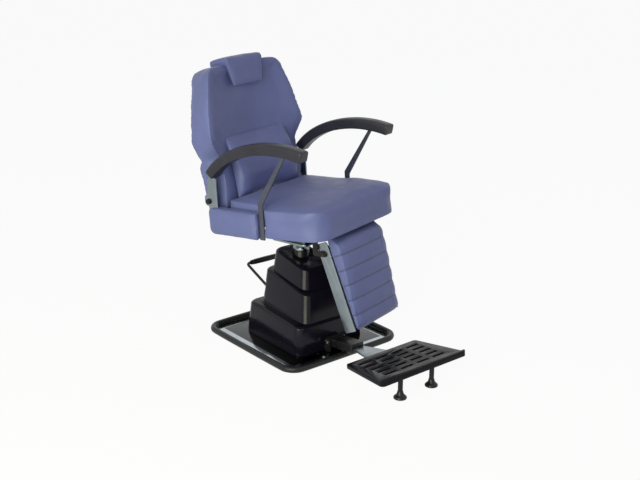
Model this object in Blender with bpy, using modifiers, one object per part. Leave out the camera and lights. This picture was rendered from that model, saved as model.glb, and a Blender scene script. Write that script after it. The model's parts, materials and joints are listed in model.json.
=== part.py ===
"""Hydraulic barber chair with a reclining back, leg rest, headrest and a floor-standing footrest.

Metres, +Z up. The origin is on the floor at the lift column. The base faces -Y, and the seat is turned
REST_SWIVEL from it. +X is the sitter's left.
"""

import math
from collections import namedtuple

import bmesh
import bpy
from mathutils import Matrix, Vector

# General
CLEAR = 0.0003
EDGE = 0.0012
FLAT = 0.006
ROUND_STEPS = 5
TURN_STEPS = 24
SIDES = {"right": -1, "left": 1}

# Rest angles in degrees
REST_SWIVEL = 15.0
SEAT_TILT = 4.0
BACK_LEAN = 11.5
LEG_LEAN = 18.5
FOOT_RISE = 5.6

# Base
RIM_SPAN_X = 0.535
RIM_SPAN_Y = 0.557
RIM_CORNER = 0.06
RIM_RADIUS = 0.0125
PLATE_THICK = 0.008

# Pump cover: tiers from the floor up, tops sloping down to the front
LOW_TIER_HALF = 0.165
LOW_TIER_FRONT = -0.190
LOW_TIER_BACK = 0.160
LOW_TIER_DRAFT = 0.010
LOW_TIER_TOP = 0.132
MID_TIER_HALF = 0.114
MID_TIER_FRONT = -0.170
MID_TIER_BACK = 0.122
MID_TIER_DRAFT = 0.012
MID_TIER_TOP = 0.262
HIGH_TIER_HALF = 0.084
HIGH_TIER_FRONT = -0.128
HIGH_TIER_BACK = 0.092
HIGH_TIER_DRAFT = 0.008
HIGH_TIER_TOP = 0.345
COVER_CORNER = 0.032
COVER_ROLL = 0.007
COVER_SKIRT = 0.012
COVER_WALL = 0.003
COVER_MOUTH_GAP = 0.004

# Pump and ram
PUMP_RADIUS = 0.032
PUMP_TOP = 0.362
PUMP_FLANGE_RADIUS = 0.052
PUMP_FLANGE_THICK = 0.010
RAM_RADIUS = 0.020
RAM_GUIDE = 0.080
LIFT_TRAVEL = 0.150
GLAND_HEIGHT = 0.010
RAM_SHOWN = 0.020
RAM_FLANGE_RADIUS = 0.050
RAM_FLANGE_THICK = 0.010
SPIGOT_RADIUS = 0.012
SPIGOT_PROUD = 0.003
BEARING_THICK = 0.004

# Pump lever
LEVER_Y = 0.055
LEVER_Z = 0.180
LEVER_RISE = 22.4
LEVER_REACH = 0.199
LEVER_HALF = 0.094
LEVER_ROD = 0.006
LEVER_BEND = 0.014
LEVER_TAIL = 0.012
LEVER_SWING = 22.0
LEVER_SHAFT = 0.008
LEVER_GRIP_RADIUS = 0.012
LEVER_SLOT_GAP = 0.004
BRACKET_X = 0.055
BRACKET_HALF = 0.020

# Swivel mount and seat frame
SWIVEL_PLATE = 0.170
SWIVEL_PLATE_CORNER = 0.020
SWIVEL_PLATE_THICK = 0.008
SEAT_Z = 0.4775
RAIL_X = 0.073
RAIL_WIDE = 0.018
RAIL_HIGH = 0.016
RAIL_BACK = 0.175
BAR_WIDE = 0.022
BAR_HIGH = 0.016
FRONT_BAR_Y = -0.035
REAR_BAR_Y = 0.150
BOARD_THICK = 0.010

# Seat cushion, T shaped in plan
SEAT_HALF = 0.287
SEAT_TAPER = 0.025
SEAT_FRONT = -0.285
SEAT_SHOULDER = -0.0475
SEAT_PANEL_GAP = 0.0045
SEAT_STEP_ROUND = 0.010
SEAT_STEP_FILLET = 0.004
SEAT_ROLL = 0.022
SEAT_STEM_CORNER = 0.020
SEAT_BACK = 0.157
SEAT_CORNER = 0.075
SEAT_SKIRT = 0.0053
SEAT_EDGE = 0.127
SEAT_CROWN = 0.016
BOARD_INSET = 0.022

# Side panels and arms
PANEL_INNER = 0.250
PANEL_THICK = 0.050
PANEL_FRONT = -0.020
PANEL_BACK = 0.214
PANEL_LOW = -0.003
PANEL_TOP = 0.1015
PANEL_CORNER = 0.018
PANEL_CROWN = 0.004
PANEL_ROLL = 0.012
ARM_PLANE = 0.278
STRUT_LOW = 0.000
STRUT_BEND_Z = 0.137
STRUT_TOP_Y = -0.154
STRUT_TOP_WIDE = 0.016
STRUT_TAB = 0.030
STRUT_TAB_THICK = 0.005
ARM_REAR = (0.190, 0.228)
ARM_RISE = (0.095, 0.340)
ARM_CREST = (-0.100, 0.367)
ARM_FRONT = (-0.248, 0.324)
ARM_WIDE = 0.050
ARM_DEEP = 0.042
ARM_ROUND = 0.012
ARM_STATIONS = 22
POST_WIDE = 0.044
POST_TIP = 0.018
POST_FALL = 0.032
POST_SUNK = 0.056
PIVOT_Y = 0.215
PIVOT_Z = 0.122
PIVOT_LOBE = 0.018
PIN_RADIUS = 0.006
PIVOT_HEAD_RADIUS = 0.010
PIVOT_HEAD = 0.006
PIVOT_SHOULDER = 0.010

# Back, in a frame at the pivot with z along the back and -y to the front
HINGE_X = 0.2275
HINGE_TOP = 0.060
HINGE_FRONT = -0.012
BACK_FACE = -0.100
BACK_REAR = 0.022
BACK_BOARD_THICK = 0.012
BACK_TOP = 0.485
BACK_TOP_HALF = 0.194
BACK_TOP_CORNER = 0.055
FLANK_HALF = 0.259
FLANK_Z = 0.310
FLANK_BEND = 0.250
SHOULDER_HALF = 0.284
SHOULDER_Z = 0.215
SHOULDER_CORNER = 0.026
WAIST_Z = 0.152
WAIST_CORNER = 0.036
FOOT_CORNER = 0.016
BACK_LOW = -0.045
BACK_CROWN = 0.005
BACK_ROLL = 0.009
BACK_STEP = 0.045
BACK_DISH = 0.068
DISH_TOP = 0.7225
DISH_FULL = 0.250
HEEL_SWEEP = 0.055
HEEL_SLOPE = 0.7
WAIST_PAD = 0.032
WAIST_PAD_CROWN = 0.014
WAIST_PAD_ROLL = 0.0045
BACK_BOARD_INSET = 0.002
LUMBAR_HALF = 0.180
LUMBAR_LOW = 0.002
LUMBAR_TOP = 0.222
LUMBAR_EDGE = 0.005
LUMBAR_DEEP = 0.052
LUMBAR_SKEW = 0.62

# Headrest
SOCKET_X = 0.050
SOCKET_Y = -0.020
SOCKET_RADIUS = 0.008
SOCKET_LONG = 0.180
SOCKET_SET = 0.004
POST_RADIUS = 0.005
POST_LONG = 0.145
HEAD_GAP = 0.0035
HEAD_SEAT = 0.001
HEAD_THICK = 0.022
HEAD_LOW_THICK = 0.013
HEAD_TOP_THICK = 0.025
HEAD_DROP = 0.090
HEAD_REAR = 0.001
HEAD_HALF = 0.1035
HEAD_LOW_HALF = 0.083
HEAD_SOFT = 0.006

# Leg rest, in a frame at its hinge with z up along it and -y to the front
LEG_HINGE_Y = -0.2179
LEG_HINGE_DROP = 0.0662
LEG_BAR_X = 0.1475
LEG_BAR_THICK = 0.005
LEG_BAR_FRONT = -0.024
LEG_BAR_BACK = 0.023
LEG_LONG = 0.305
LEG_HEAD = 0.044
LEG_LUG_EYE = 0.0095
LEG_LUG_BACK = 0.028
LEG_BOARD_THICK = 0.008
LEG_BOARD_END = 0.012
LEG_PAD_TOP_EDGE = 0.040
LEG_PAD_LOW_EDGE = 0.019
LEG_PAD_CROWN = 0.006
LEG_PAD_ROUND = 0.012
LEG_PAD_TOP_HALF = 0.149
LEG_PAD_LOW_HALF = 0.143
LEG_PAD_HEAD = 0.040
LEG_CHANNELS = 6
LEG_CHANNEL_DEPTH = 0.0035
LEG_TIE_RADIUS = 0.008
LEG_TIE_UP = 0.028

# Footrest, in a frame at its hinge pin with -y to the front
FOOT_PIN_AHEAD = 0.018
FOOT_PIN_Z = 0.046
FOOT_PIN_HEAD = 0.010
FOOT_PIN_HEAD_THICK = 0.006
FOOT_LUG_THICK = 0.008
FOOT_LUG_HALF = 0.016
FOOT_TUBE_WIDE = 0.064
FOOT_TUBE_HIGH = 0.034
FOOT_TUBE_LONG = 0.135
FOOT_TUBE_TAIL = 0.012
TONGUE_WIDE = 0.050
TONGUE_THICK = 0.006
TONGUE_SUNK = 0.070
TONGUE_FLARE = 0.060
TONGUE_UNDER = 0.100
TREAD_BACK_Y = -0.2675
TREAD_DEEP = 0.2335
TREAD_BACK_HALF = 0.171
TREAD_FRONT_HALF = 0.208
TREAD_THICK = 0.014
TREAD_CORNER = 0.014
LIP_DEEP = 0.014
LIP_HIGH = 0.007
SLOT_COLUMNS = 4
SLOT_ROWS = 5
SLOT_LONG = 0.056
SLOT_WIDE = 0.012
SLOT_PITCH_X = 0.078
SLOT_PITCH_Y = 0.034
PEG_X = 0.077
PEG_SET_BACK = 0.034
PEG_STEM = 0.009
PEG_DISC = 0.024
PEG_DISC_THICK = 0.010
PEG_NECK = 0.022

# Values worked out from the driving dimensions
Tier = namedtuple("Tier", "half front back draft top slope")
TIERS = (
    Tier(LOW_TIER_HALF, LOW_TIER_FRONT, LOW_TIER_BACK, LOW_TIER_DRAFT, LOW_TIER_TOP, slope=0.06),
    Tier(MID_TIER_HALF, MID_TIER_FRONT, MID_TIER_BACK, MID_TIER_DRAFT, MID_TIER_TOP, slope=0.17),
    Tier(HIGH_TIER_HALF, HIGH_TIER_FRONT, HIGH_TIER_BACK, HIGH_TIER_DRAFT, HIGH_TIER_TOP, slope=0.20),
)
FOOT_PIN_Y = LOW_TIER_FRONT - FOOT_PIN_AHEAD
SEAT_STEM_HALF = PANEL_INNER - SEAT_PANEL_GAP
SEAT_STEP = SEAT_HALF - SEAT_STEM_HALF
SEAT_STEP_CORNER = min(SEAT_STEP_ROUND, 0.6 * SEAT_STEP)
SEAT_EDGE_ROLL = min(SEAT_ROLL, 1.6 * SEAT_STEP_CORNER)
RAM_FLANGE_Z = PUMP_TOP + CLEAR + GLAND_HEIGHT + RAM_SHOWN
BEARING_Z = RAM_FLANGE_Z + RAM_FLANGE_THICK + CLEAR
SWIVEL_PLATE_Z = BEARING_Z + BEARING_THICK + CLEAR
LEG_LUG_X = LEG_BAR_X + LEG_BAR_THICK / 2 + CLEAR + FLAT / 2
RAIL_FRONT = LEG_HINGE_Y + LEG_LUG_BACK
HINGE_BAR_Y = RAIL_FRONT + BAR_WIDE / 2
BAR_Z = RAIL_HIGH + CLEAR
BOARD_Z = BAR_Z + BAR_HIGH + CLEAR
BOARD_TOP = BOARD_Z + BOARD_THICK
HINGE_INNER = HINGE_X - FLAT / 2
WAIST_HALF = HINGE_INNER - CLEAR
BACK_BOARD_Y = BACK_REAR - BACK_BOARD_THICK
HEAD_LOW_Z = BACK_TOP + HEAD_SEAT
TREAD_FRONT_Y = TREAD_BACK_Y - TREAD_DEEP
TONGUE_TOP = TONGUE_THICK / 2

Finish = namedtuple("Finish", "colour roughness metallic")
VINYL = Finish((0.155, 0.170, 0.345), 0.45, 0.0)
ARM_PLASTIC = Finish((0.045, 0.045, 0.060), 0.50, 0.0)
COVER_GLOSS = Finish((0.012, 0.011, 0.020), 0.15, 0.0)
BLACK_PAINT = Finish((0.020, 0.020, 0.023), 0.40, 0.0)
GREY_STEEL = Finish((0.36, 0.41, 0.41), 0.38, 1.0)
DARK_STEEL = Finish((0.11, 0.12, 0.16), 0.30, 1.0)
POLISHED = Finish((0.62, 0.66, 0.67), 0.12, 1.0)
CHROME = Finish((0.75, 0.77, 0.78), 0.06, 1.0)
BRONZE = Finish((0.55, 0.38, 0.18), 0.35, 1.0)
RUBBER = Finish((0.018, 0.018, 0.020), 0.75, 0.0)
PLYWOOD = Finish((0.030, 0.028, 0.027), 0.70, 0.0)


def collection(name):
    """A fresh collection in the scene."""
    made = bpy.data.collections.new(name)
    bpy.context.scene.collection.children.link(made)
    return made


for old in list(bpy.data.objects):
    bpy.data.objects.remove(old, do_unlink=True)
PARTS = collection("barber_chair")
CUTTERS = collection("cutters")


def dress(obj, finish):
    """Gives a part its own Principled material."""
    made = bpy.data.materials.new(obj.name + "_finish")
    made.use_nodes = True
    shader = made.node_tree.nodes["Principled BSDF"]
    shader.inputs["Base Color"].default_value = (*finish.colour, 1.0)
    shader.inputs["Roughness"].default_value = finish.roughness
    shader.inputs["Metallic"].default_value = finish.metallic
    obj.data.materials.append(made)
    return obj


def place(obj, parent, location, rotation):
    """Parents an object and sets where it sits in its parent's frame, angles in degrees."""
    obj.parent = parent
    obj.location = location
    obj.rotation_euler = [math.radians(a) for a in rotation]
    return obj


def add(name, mesh, finish, parent=None, location=(0, 0, 0), rotation=(0, 0, 0)):
    """A part from a mesh, shaded smooth between sharp edges, or a cutter where finish is None."""
    obj = bpy.data.objects.new(name, mesh)
    (PARTS if finish else CUTTERS).objects.link(obj)
    place(obj, parent, location, rotation)
    if finish:
        mesh.shade_smooth()
        mesh.set_sharp_from_angle(angle=math.radians(35))
        dress(obj, finish)
    else:
        obj.hide_render = True
        obj.display_type = "WIRE"
    return obj


def frame_empty(name, parent=None, location=(0, 0, 0), rotation=(0, 0, 0)):
    """An empty that carries a moving group on its joint axis."""
    empty = bpy.data.objects.new(name, None)
    PARTS.objects.link(empty)
    return place(empty, parent, location, rotation)


def cut(target, cutter):
    """Takes a cutter's shape out of a part."""
    modifier = target.modifiers.new("cut_" + cutter.name, "BOOLEAN")
    modifier.operation = "DIFFERENCE"
    modifier.solver = "EXACT"
    modifier.object = cutter


def soften(obj, width, segments=1):
    """Rounds a part's sharp edges."""
    modifier = obj.modifiers.new("edge", "BEVEL")
    modifier.width = width
    modifier.segments = segments
    modifier.limit_method = "ANGLE"
    modifier.angle_limit = math.radians(40)


def mesh_of(name, bm):
    """A mesh from a bmesh whose faces are turned outwards."""
    bmesh.ops.recalc_face_normals(bm, faces=bm.faces)
    mesh = bpy.data.meshes.new(name)
    bm.to_mesh(mesh)
    bm.free()
    return mesh


def box_mesh(name, size):
    """A box centred on its origin."""
    bm = bmesh.new()
    bmesh.ops.create_cube(bm, size=1.0)
    bmesh.ops.scale(bm, vec=size, verts=bm.verts)
    return mesh_of(name, bm)


def rod_mesh(name, radius, length, along="Z"):
    """A round bar centred on its origin."""
    bm = bmesh.new()
    bmesh.ops.create_cone(
        bm, cap_ends=True, segments=TURN_STEPS, radius1=radius, radius2=radius, depth=length
    )
    if along == "X":
        bmesh.ops.rotate(bm, verts=bm.verts, matrix=Matrix.Rotation(math.pi / 2, 3, "Y"))
    return mesh_of(name, bm)


def turned(name, profile, finish, parent=None, location=(0, 0, 0), rotation=(0, 0, 0)):
    """A part turned about its own z from (radius, height) points, outer side from top to bottom."""
    bm = bmesh.new()
    points = [bm.verts.new((r, 0, z)) for r, z in profile]
    ends = list(zip(points, points[1:]))
    if profile[0][0] > 0:
        ends.append((points[-1], points[0]))
    for pair in ends:
        bm.edges.new(pair)
    mesh = bpy.data.meshes.new(name)
    bm.to_mesh(mesh)
    bm.free()
    obj = add(name, mesh, finish, parent, location, rotation)
    screw = obj.modifiers.new("turn", "SCREW")
    screw.steps = TURN_STEPS
    screw.render_steps = TURN_STEPS
    screw.use_merge_vertices = True
    screw.merge_threshold = 0.00001
    screw.use_smooth_shade = True
    return obj


def solid_from_curve(curve_object):
    """Replaces a curve object by a closed mesh, its caps welded to its sides."""
    bpy.context.view_layer.update()
    shown = curve_object.evaluated_get(bpy.context.evaluated_depsgraph_get())
    mesh = bpy.data.meshes.new_from_object(shown)
    mesh.transform(curve_object.matrix_world)
    bm = bmesh.new()
    bm.from_mesh(mesh)
    bmesh.ops.remove_doubles(bm, verts=bm.verts, dist=0.00001)
    bpy.data.objects.remove(curve_object, do_unlink=True)
    bpy.data.meshes.remove(mesh)
    return mesh_of("solid", bm)


def curve_object(points, cyclic, dimensions):
    """A straight-segment curve through points."""
    data = bpy.data.curves.new("guide", "CURVE")
    data.dimensions = dimensions
    spline = data.splines.new("POLY")
    spline.points.add(len(points) - 1)
    for point, co in zip(spline.points, points):
        point.co = (*co, 0, 1) if len(co) == 2 else (*co, 1)
    spline.use_cyclic_u = cyclic
    obj = bpy.data.objects.new("guide", data)
    CUTTERS.objects.link(obj)
    return obj


def flat_mesh(outline, thickness):
    """A plate of a given outline in its own XY plane, half its thickness each way."""
    guide = curve_object(outline, True, "2D")
    guide.data.fill_mode = "BOTH"
    guide.data.extrude = thickness / 2
    return solid_from_curve(guide)


def side_mesh(outline, thickness):
    """A plate whose outline is given as (y, z), half its thickness each way along x."""
    mesh = flat_mesh(outline, thickness)
    mesh.transform(Matrix(((0, 0, 1, 0), (1, 0, 0, 0), (0, 1, 0, 0), (0, 0, 0, 1))))
    return mesh


def tube_mesh(points, radius, cyclic=False, facets=3):
    """A round tube or rod bent through points."""
    guide = curve_object(points, cyclic, "3D")
    guide.data.bevel_depth = radius
    guide.data.bevel_resolution = facets
    guide.data.use_fill_caps = True
    return solid_from_curve(guide)


def rounded(corners, steps=ROUND_STEPS):
    """An outline through (x, y, radius) corners, each corner an arc."""
    outline = []
    count = len(corners)
    for i, (x, y, radius) in enumerate(corners):
        corner = Vector((x, y))
        before = (Vector(corners[i - 1][:2]) - corner).normalized()
        after = (Vector(corners[(i + 1) % count][:2]) - corner).normalized()
        half = math.acos(max(-1.0, min(1.0, before.dot(after)))) / 2
        centre = corner + (before + after).normalized() * (radius / math.sin(half))
        reach = radius / math.tan(half)
        start = corner + before * reach - centre
        sweep = start.angle_signed(corner + after * reach - centre)
        for step in range(steps + 1):
            turn = Matrix.Rotation(-sweep * step / steps, 2)
            outline.append(tuple(centre + turn @ start))
    return outline


def mirrored(corners):
    """A whole outline from the corners of its +x half, listed from top to bottom."""
    return list(corners) + [(-x, y, r) for x, y, r in reversed(corners)]


def inset(outline, amount):
    """An outline drawn in along its own normals."""
    area = sum(
        x0 * y1 - x1 * y0 for (x0, y0), (x1, y1) in zip(outline, outline[1:] + outline[:1])
    )
    turn = amount if area > 0 else -amount
    drawn = []
    for i, (x, y) in enumerate(outline):
        x0, y0 = outline[i - 1]
        x1, y1 = outline[(i + 1) % len(outline)]
        along = Vector((x1 - x0, y1 - y0)).normalized()
        drawn.append((x - along.y * turn, y + along.x * turn))
    return drawn


def divided(outline, longest):
    """An outline with points added along its long sides."""
    points = []
    for (x0, y0), (x1, y1) in zip(outline, outline[1:] + outline[:1]):
        count = max(1, math.ceil(math.hypot(x1 - x0, y1 - y0) / longest))
        points += [(x0 + (x1 - x0) * i / count, y0 + (y1 - y0) * i / count) for i in range(count)]
    return points


def loft_mesh(name, rings):
    """A closed skin through rings of equal count, capped at both ends."""
    bm = bmesh.new()
    rows = [[bm.verts.new(point) for point in ring] for ring in rings]
    for low, high in zip(rows, rows[1:]):
        for i in range(len(low)):
            j = (i + 1) % len(low)
            bm.faces.new((low[i], low[j], high[j], high[i]))
    bm.faces.new(rows[0])
    bm.faces.new(rows[-1])
    return mesh_of(name, bm)


def cushion_mesh(name, outline, deep, crown, roll, centre, underside=0.0):
    """A stuffed pad over an outline: drawn-in sides, a rolled edge and a crowned face.

    Args: outline in the pad's own XY plane, deep the height of its edge over underside, crown the rise
    of its middle, roll the radius of its edge, centre the point that the crown closes on.
    """
    roll = min(roll, 0.4 * deep)
    waist = roll * 0.25
    levels = (
        (roll * 0.5, underside),
        (0.0, underside + roll * 0.5),
        (waist, underside + deep * 0.5),
        (0.0, underside + deep - roll),
        (roll * 0.3, underside + deep - roll * 0.3),
        (roll, underside + deep),
    )
    rings = [[(x, y, z) for x, y in inset(outline, amount)] for amount, z in levels]
    edge = inset(outline, roll)
    top = underside + deep
    for share in (0.85, 0.62, 0.36, 0.12):
        rise = top + crown * (1 - share * share)
        rings.append(
            [
                (centre[0] + (x - centre[0]) * share, centre[1] + (y - centre[1]) * share, rise)
                for x, y in edge
            ]
        )
    return loft_mesh(name, rings)


def drilled(obj, radius, at, along="X", long=0.2):
    """Bores a round hole through a part, in the part's parent frame."""
    cutter = add(obj.name + "_bore", rod_mesh("bore", radius, long, along), None, obj.parent, at)
    cut(obj, cutter)


def base():
    """The plate, its rim, the pump cover and the pump's fixed parts."""
    half_x = RIM_SPAN_X / 2
    half_y = RIM_SPAN_Y / 2
    rim_line = rounded(mirrored([(half_x, half_y, RIM_CORNER), (half_x, -half_y, RIM_CORNER)]))
    rim_points = [(x, y, RIM_RADIUS) for x, y in rim_line]
    add("base_rim", tube_mesh(rim_points, RIM_RADIUS, cyclic=True, facets=6), RUBBER)
    reach = math.sqrt(RIM_RADIUS**2 - (RIM_RADIUS - PLATE_THICK) ** 2)
    plate_line = inset(rim_line, reach + CLEAR)
    add("base_plate", flat_mesh(plate_line, PLATE_THICK), POLISHED, location=(0, 0, PLATE_THICK / 2))
    floor = PLATE_THICK + CLEAR
    base_cover(floor)
    bore = RAM_RADIUS + CLEAR
    bore_end = PUMP_TOP - LIFT_TRAVEL - RAM_GUIDE - 0.010
    profile = (
        (0, bore_end),
        (bore, bore_end),
        (bore, PUMP_TOP),
        (PUMP_RADIUS, PUMP_TOP),
        (PUMP_RADIUS, floor + PUMP_FLANGE_THICK),
        (PUMP_FLANGE_RADIUS, floor + PUMP_FLANGE_THICK),
        (PUMP_FLANGE_RADIUS, floor),
        (0, floor),
    )
    turned("pump_cylinder", profile, BLACK_PAINT)
    low = PUMP_TOP + CLEAR
    gland = ((bore, low), (bore, low + GLAND_HEIGHT), (PUMP_RADIUS, low + GLAND_HEIGHT), (PUMP_RADIUS, low))
    turned("pump_gland", gland, GREY_STEEL)
    for side, sign in SIDES.items():
        lever_bracket(side, sign, floor)
        footrest_lug(side, sign, floor)


def tier_ring(tier, grow, z):
    """One section of the pump cover, tilted as that tier's top is, or level where z is given."""
    corners = mirrored(
        [
            (tier.half + grow, tier.back + grow, COVER_CORNER),
            (tier.half + grow, tier.front - grow, COVER_CORNER),
        ]
    )
    return [(x, y, tier.top + tier.slope * y + z) for x, y in rounded(corners)]


def base_cover(floor):
    """The stepped shell over the pump, open below, with a mouth for the pump and slots for the lever."""
    foot = tier_ring(TIERS[0], 0.0, 0.0)
    rings = [[(x, y, z) for x, y, _ in foot] for z in (floor, floor + COVER_SKIRT)]
    for low, tier in zip((None,) + TIERS, TIERS):
        if low:
            base_line = tier_ring(tier, 0.0, 0.0)
            rings.append([(x, y, low.top + low.slope * y) for x, y, _ in base_line])
        rings.append(tier_ring(tier, -tier.draft, -COVER_ROLL))
        rings.append(tier_ring(tier, -tier.draft - COVER_ROLL, 0.0))
    bm = bmesh.new()
    rows = [[bm.verts.new(point) for point in points] for points in rings]
    for lower, upper in zip(rows, rows[1:]):
        for i in range(len(lower)):
            j = (i + 1) % len(lower)
            bm.faces.new((lower[i], lower[j], upper[j], upper[i]))
    bm.faces.new(rows[-1])
    cover = add("base_cover", mesh_of("base_cover", bm), COVER_GLOSS)
    wall = cover.modifiers.new("wall", "SOLIDIFY")
    wall.thickness = COVER_WALL
    wall.offset = -1.0
    wall.use_even_offset = True
    drilled(cover, PUMP_RADIUS + COVER_MOUTH_GAP, (0, 0, TIERS[-1].top), "Z")
    swept = math.radians(LEVER_RISE - LEVER_SWING)
    back = TIERS[1].back
    reach = back - LEVER_Y
    high = LEVER_Z + reach * math.tan(math.radians(LEVER_RISE)) + 2 * LEVER_ROD + LEVER_SLOT_GAP
    low = LEVER_Z + reach * math.tan(swept) - LEVER_ROD - 2 * LEVER_SLOT_GAP
    wide = 2 * (LEVER_ROD + LEVER_SLOT_GAP)
    for side, sign in SIDES.items():
        slot = box_mesh("slot", (wide, 2 * TIERS[1].draft + 4 * COVER_WALL, high - low))
        at = (sign * LEVER_HALF, back - TIERS[1].draft / 2, (high + low) / 2)
        cut(cover, add("lever_slot_" + side, slot, None, None, at))


def lever_bracket(side, sign, floor):
    """An upright plate that carries one end of the lever's shaft."""
    high = LEVER_Z + BRACKET_HALF
    line = rounded(
        [
            (LEVER_Y + BRACKET_HALF, floor, 0.002),
            (LEVER_Y + BRACKET_HALF, high, BRACKET_HALF * 0.9),
            (LEVER_Y - BRACKET_HALF, high, BRACKET_HALF * 0.9),
            (LEVER_Y - BRACKET_HALF, floor, 0.002),
        ]
    )
    plate = add("lever_bracket_" + side, side_mesh(line, FLAT), BLACK_PAINT, None, (sign * BRACKET_X, 0, 0))
    drilled(plate, LEVER_SHAFT + CLEAR, (sign * BRACKET_X, LEVER_Y, LEVER_Z), long=4 * FLAT)


def footrest_lug(side, sign, floor):
    """A lug on the base plate that carries one end of the footrest's pin."""
    high = FOOT_PIN_Z + FOOT_LUG_HALF
    line = rounded(
        [
            (FOOT_PIN_Y + FOOT_LUG_HALF, floor, 0.002),
            (FOOT_PIN_Y + FOOT_LUG_HALF, high, FOOT_LUG_HALF * 0.9),
            (FOOT_PIN_Y - FOOT_LUG_HALF, high, FOOT_LUG_HALF * 0.9),
            (FOOT_PIN_Y - FOOT_LUG_HALF, floor, 0.002),
        ]
    )
    x = sign * (FOOT_TUBE_WIDE / 2 + CLEAR + FOOT_LUG_THICK / 2)
    lug = add("footrest_lug_" + side, side_mesh(line, FOOT_LUG_THICK), BLACK_PAINT, None, (x, 0, 0))
    drilled(lug, PIN_RADIUS + CLEAR, (x, FOOT_PIN_Y, FOOT_PIN_Z), long=4 * FOOT_LUG_THICK)


def pump_lever():
    """The foot-pumped stirrup on its shaft, with a grip on the bar."""
    axis = frame_empty("pump_lever_axis", None, (0, LEVER_Y, LEVER_Z), (LEVER_RISE, 0, 0))
    shaft_half = LEVER_HALF - LEVER_ROD - CLEAR
    add("lever_shaft", rod_mesh("lever_shaft", LEVER_SHAFT, 2 * shaft_half, "X"), BLACK_PAINT, axis)
    corners = [(LEVER_HALF, LEVER_REACH, LEVER_BEND), (-LEVER_HALF, LEVER_REACH, LEVER_BEND)]
    tail = [(LEVER_HALF, -LEVER_TAIL), (-LEVER_HALF, -LEVER_TAIL)]
    line = rounded(corners + [(*tail[1], 0.001), (*tail[0], 0.001)])
    arc = ROUND_STEPS + 1
    path = [tail[0]] + line[:arc] + line[arc : 2 * arc] + [tail[1]]
    add("pump_lever", tube_mesh([(x, y, 0) for x, y in path], LEVER_ROD), BLACK_PAINT, axis)
    half = LEVER_HALF - LEVER_BEND
    bore = LEVER_ROD + CLEAR
    sleeve = ((bore, -half), (bore, half), (LEVER_GRIP_RADIUS, half), (LEVER_GRIP_RADIUS, -half))
    turned("lever_grip", sleeve, RUBBER, axis, (0, LEVER_REACH, 0), (0, 90, 0))


def ram():
    """The lifting rod with its flange and spigot, and the ring that the seat turns on."""
    low = PUMP_TOP - LIFT_TRAVEL - RAM_GUIDE
    flange_top = RAM_FLANGE_Z + RAM_FLANGE_THICK
    spigot_top = SWIVEL_PLATE_Z + SWIVEL_PLATE_THICK + SPIGOT_PROUD
    profile = (
        (0, spigot_top),
        (SPIGOT_RADIUS, spigot_top),
        (SPIGOT_RADIUS, flange_top),
        (RAM_FLANGE_RADIUS, flange_top),
        (RAM_FLANGE_RADIUS, RAM_FLANGE_Z),
        (RAM_RADIUS, RAM_FLANGE_Z),
        (RAM_RADIUS, low),
        (0, low),
    )
    turned("ram", profile, CHROME)
    bore = SPIGOT_RADIUS + CLEAR
    outer = RAM_FLANGE_RADIUS
    high = BEARING_Z + BEARING_THICK
    ring = ((bore, BEARING_Z), (bore, high), (outer, high), (outer, BEARING_Z))
    turned("swivel_bearing", ring, BRONZE)


def swivel_mount(swivel):
    """The plate that turns on the ram and the two gussets that hold the seat frame at its tilt."""
    half = SWIVEL_PLATE / 2
    line = rounded(mirrored([(half, half, SWIVEL_PLATE_CORNER), (half, -half, SWIVEL_PLATE_CORNER)]))
    middle = SWIVEL_PLATE_Z + SWIVEL_PLATE_THICK / 2
    plate = add("swivel_plate", flat_mesh(line, SWIVEL_PLATE_THICK), GREY_STEEL, swivel, (0, 0, middle))
    drilled(plate, SPIGOT_RADIUS + CLEAR, (0, 0, middle), "Z", 4 * SWIVEL_PLATE_THICK)
    low = SWIVEL_PLATE_Z + SWIVEL_PLATE_THICK + CLEAR
    slope = math.tan(math.radians(SEAT_TILT))
    end = half - SWIVEL_PLATE_CORNER / 2
    line = [(y, low) for y in (-end, end)] + [(y, SEAT_Z - y * slope - CLEAR) for y in (end, -end)]
    for side, sign in SIDES.items():
        add("mount_gusset_" + side, side_mesh(line, FLAT), GREY_STEEL, swivel, (sign * RAIL_X, 0, 0))


def seat_frame(tilt):
    """Rails, crossbars and the board under the seat cushion."""
    for side, sign in SIDES.items():
        size = (RAIL_WIDE, RAIL_BACK - RAIL_FRONT, RAIL_HIGH)
        at = (sign * RAIL_X, (RAIL_BACK + RAIL_FRONT) / 2, RAIL_HIGH / 2)
        soften(add("seat_rail_" + side, box_mesh("rail", size), GREY_STEEL, tilt, at), EDGE)
    bars = {
        "seat_crossbar_front": (FRONT_BAR_Y, ARM_PLANE - FLAT / 2 - CLEAR),
        "seat_crossbar_rear": (REAR_BAR_Y, PANEL_INNER - CLEAR),
        "seat_crossbar_hinge": (HINGE_BAR_Y, LEG_LUG_X + FLAT / 2),
    }
    for name, (y, half) in bars.items():
        size = (2 * half, BAR_WIDE, BAR_HIGH)
        soften(add(name, box_mesh(name, size), GREY_STEEL, tilt, (0, y, BAR_Z + BAR_HIGH / 2)), EDGE)
    middle = BOARD_Z + BOARD_THICK / 2
    add("seat_board", flat_mesh(seat_line(BOARD_INSET), BOARD_THICK), PLYWOOD, tilt, (0, 0, middle))


def seat_line(drawn):
    """The seat's T-shaped outline, drawn in by a margin."""
    return rounded(
        mirrored(
            [
                (SEAT_STEM_HALF - drawn, SEAT_BACK - drawn, SEAT_STEM_CORNER),
                (SEAT_STEM_HALF - drawn, SEAT_SHOULDER - drawn, min(SEAT_STEP_FILLET, 0.3 * SEAT_STEP)),
                (SEAT_HALF - drawn, SEAT_SHOULDER - drawn, SEAT_STEP_CORNER),
                (SEAT_HALF - SEAT_TAPER - drawn, SEAT_FRONT + drawn, SEAT_CORNER - drawn),
            ]
        )
    )


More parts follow.
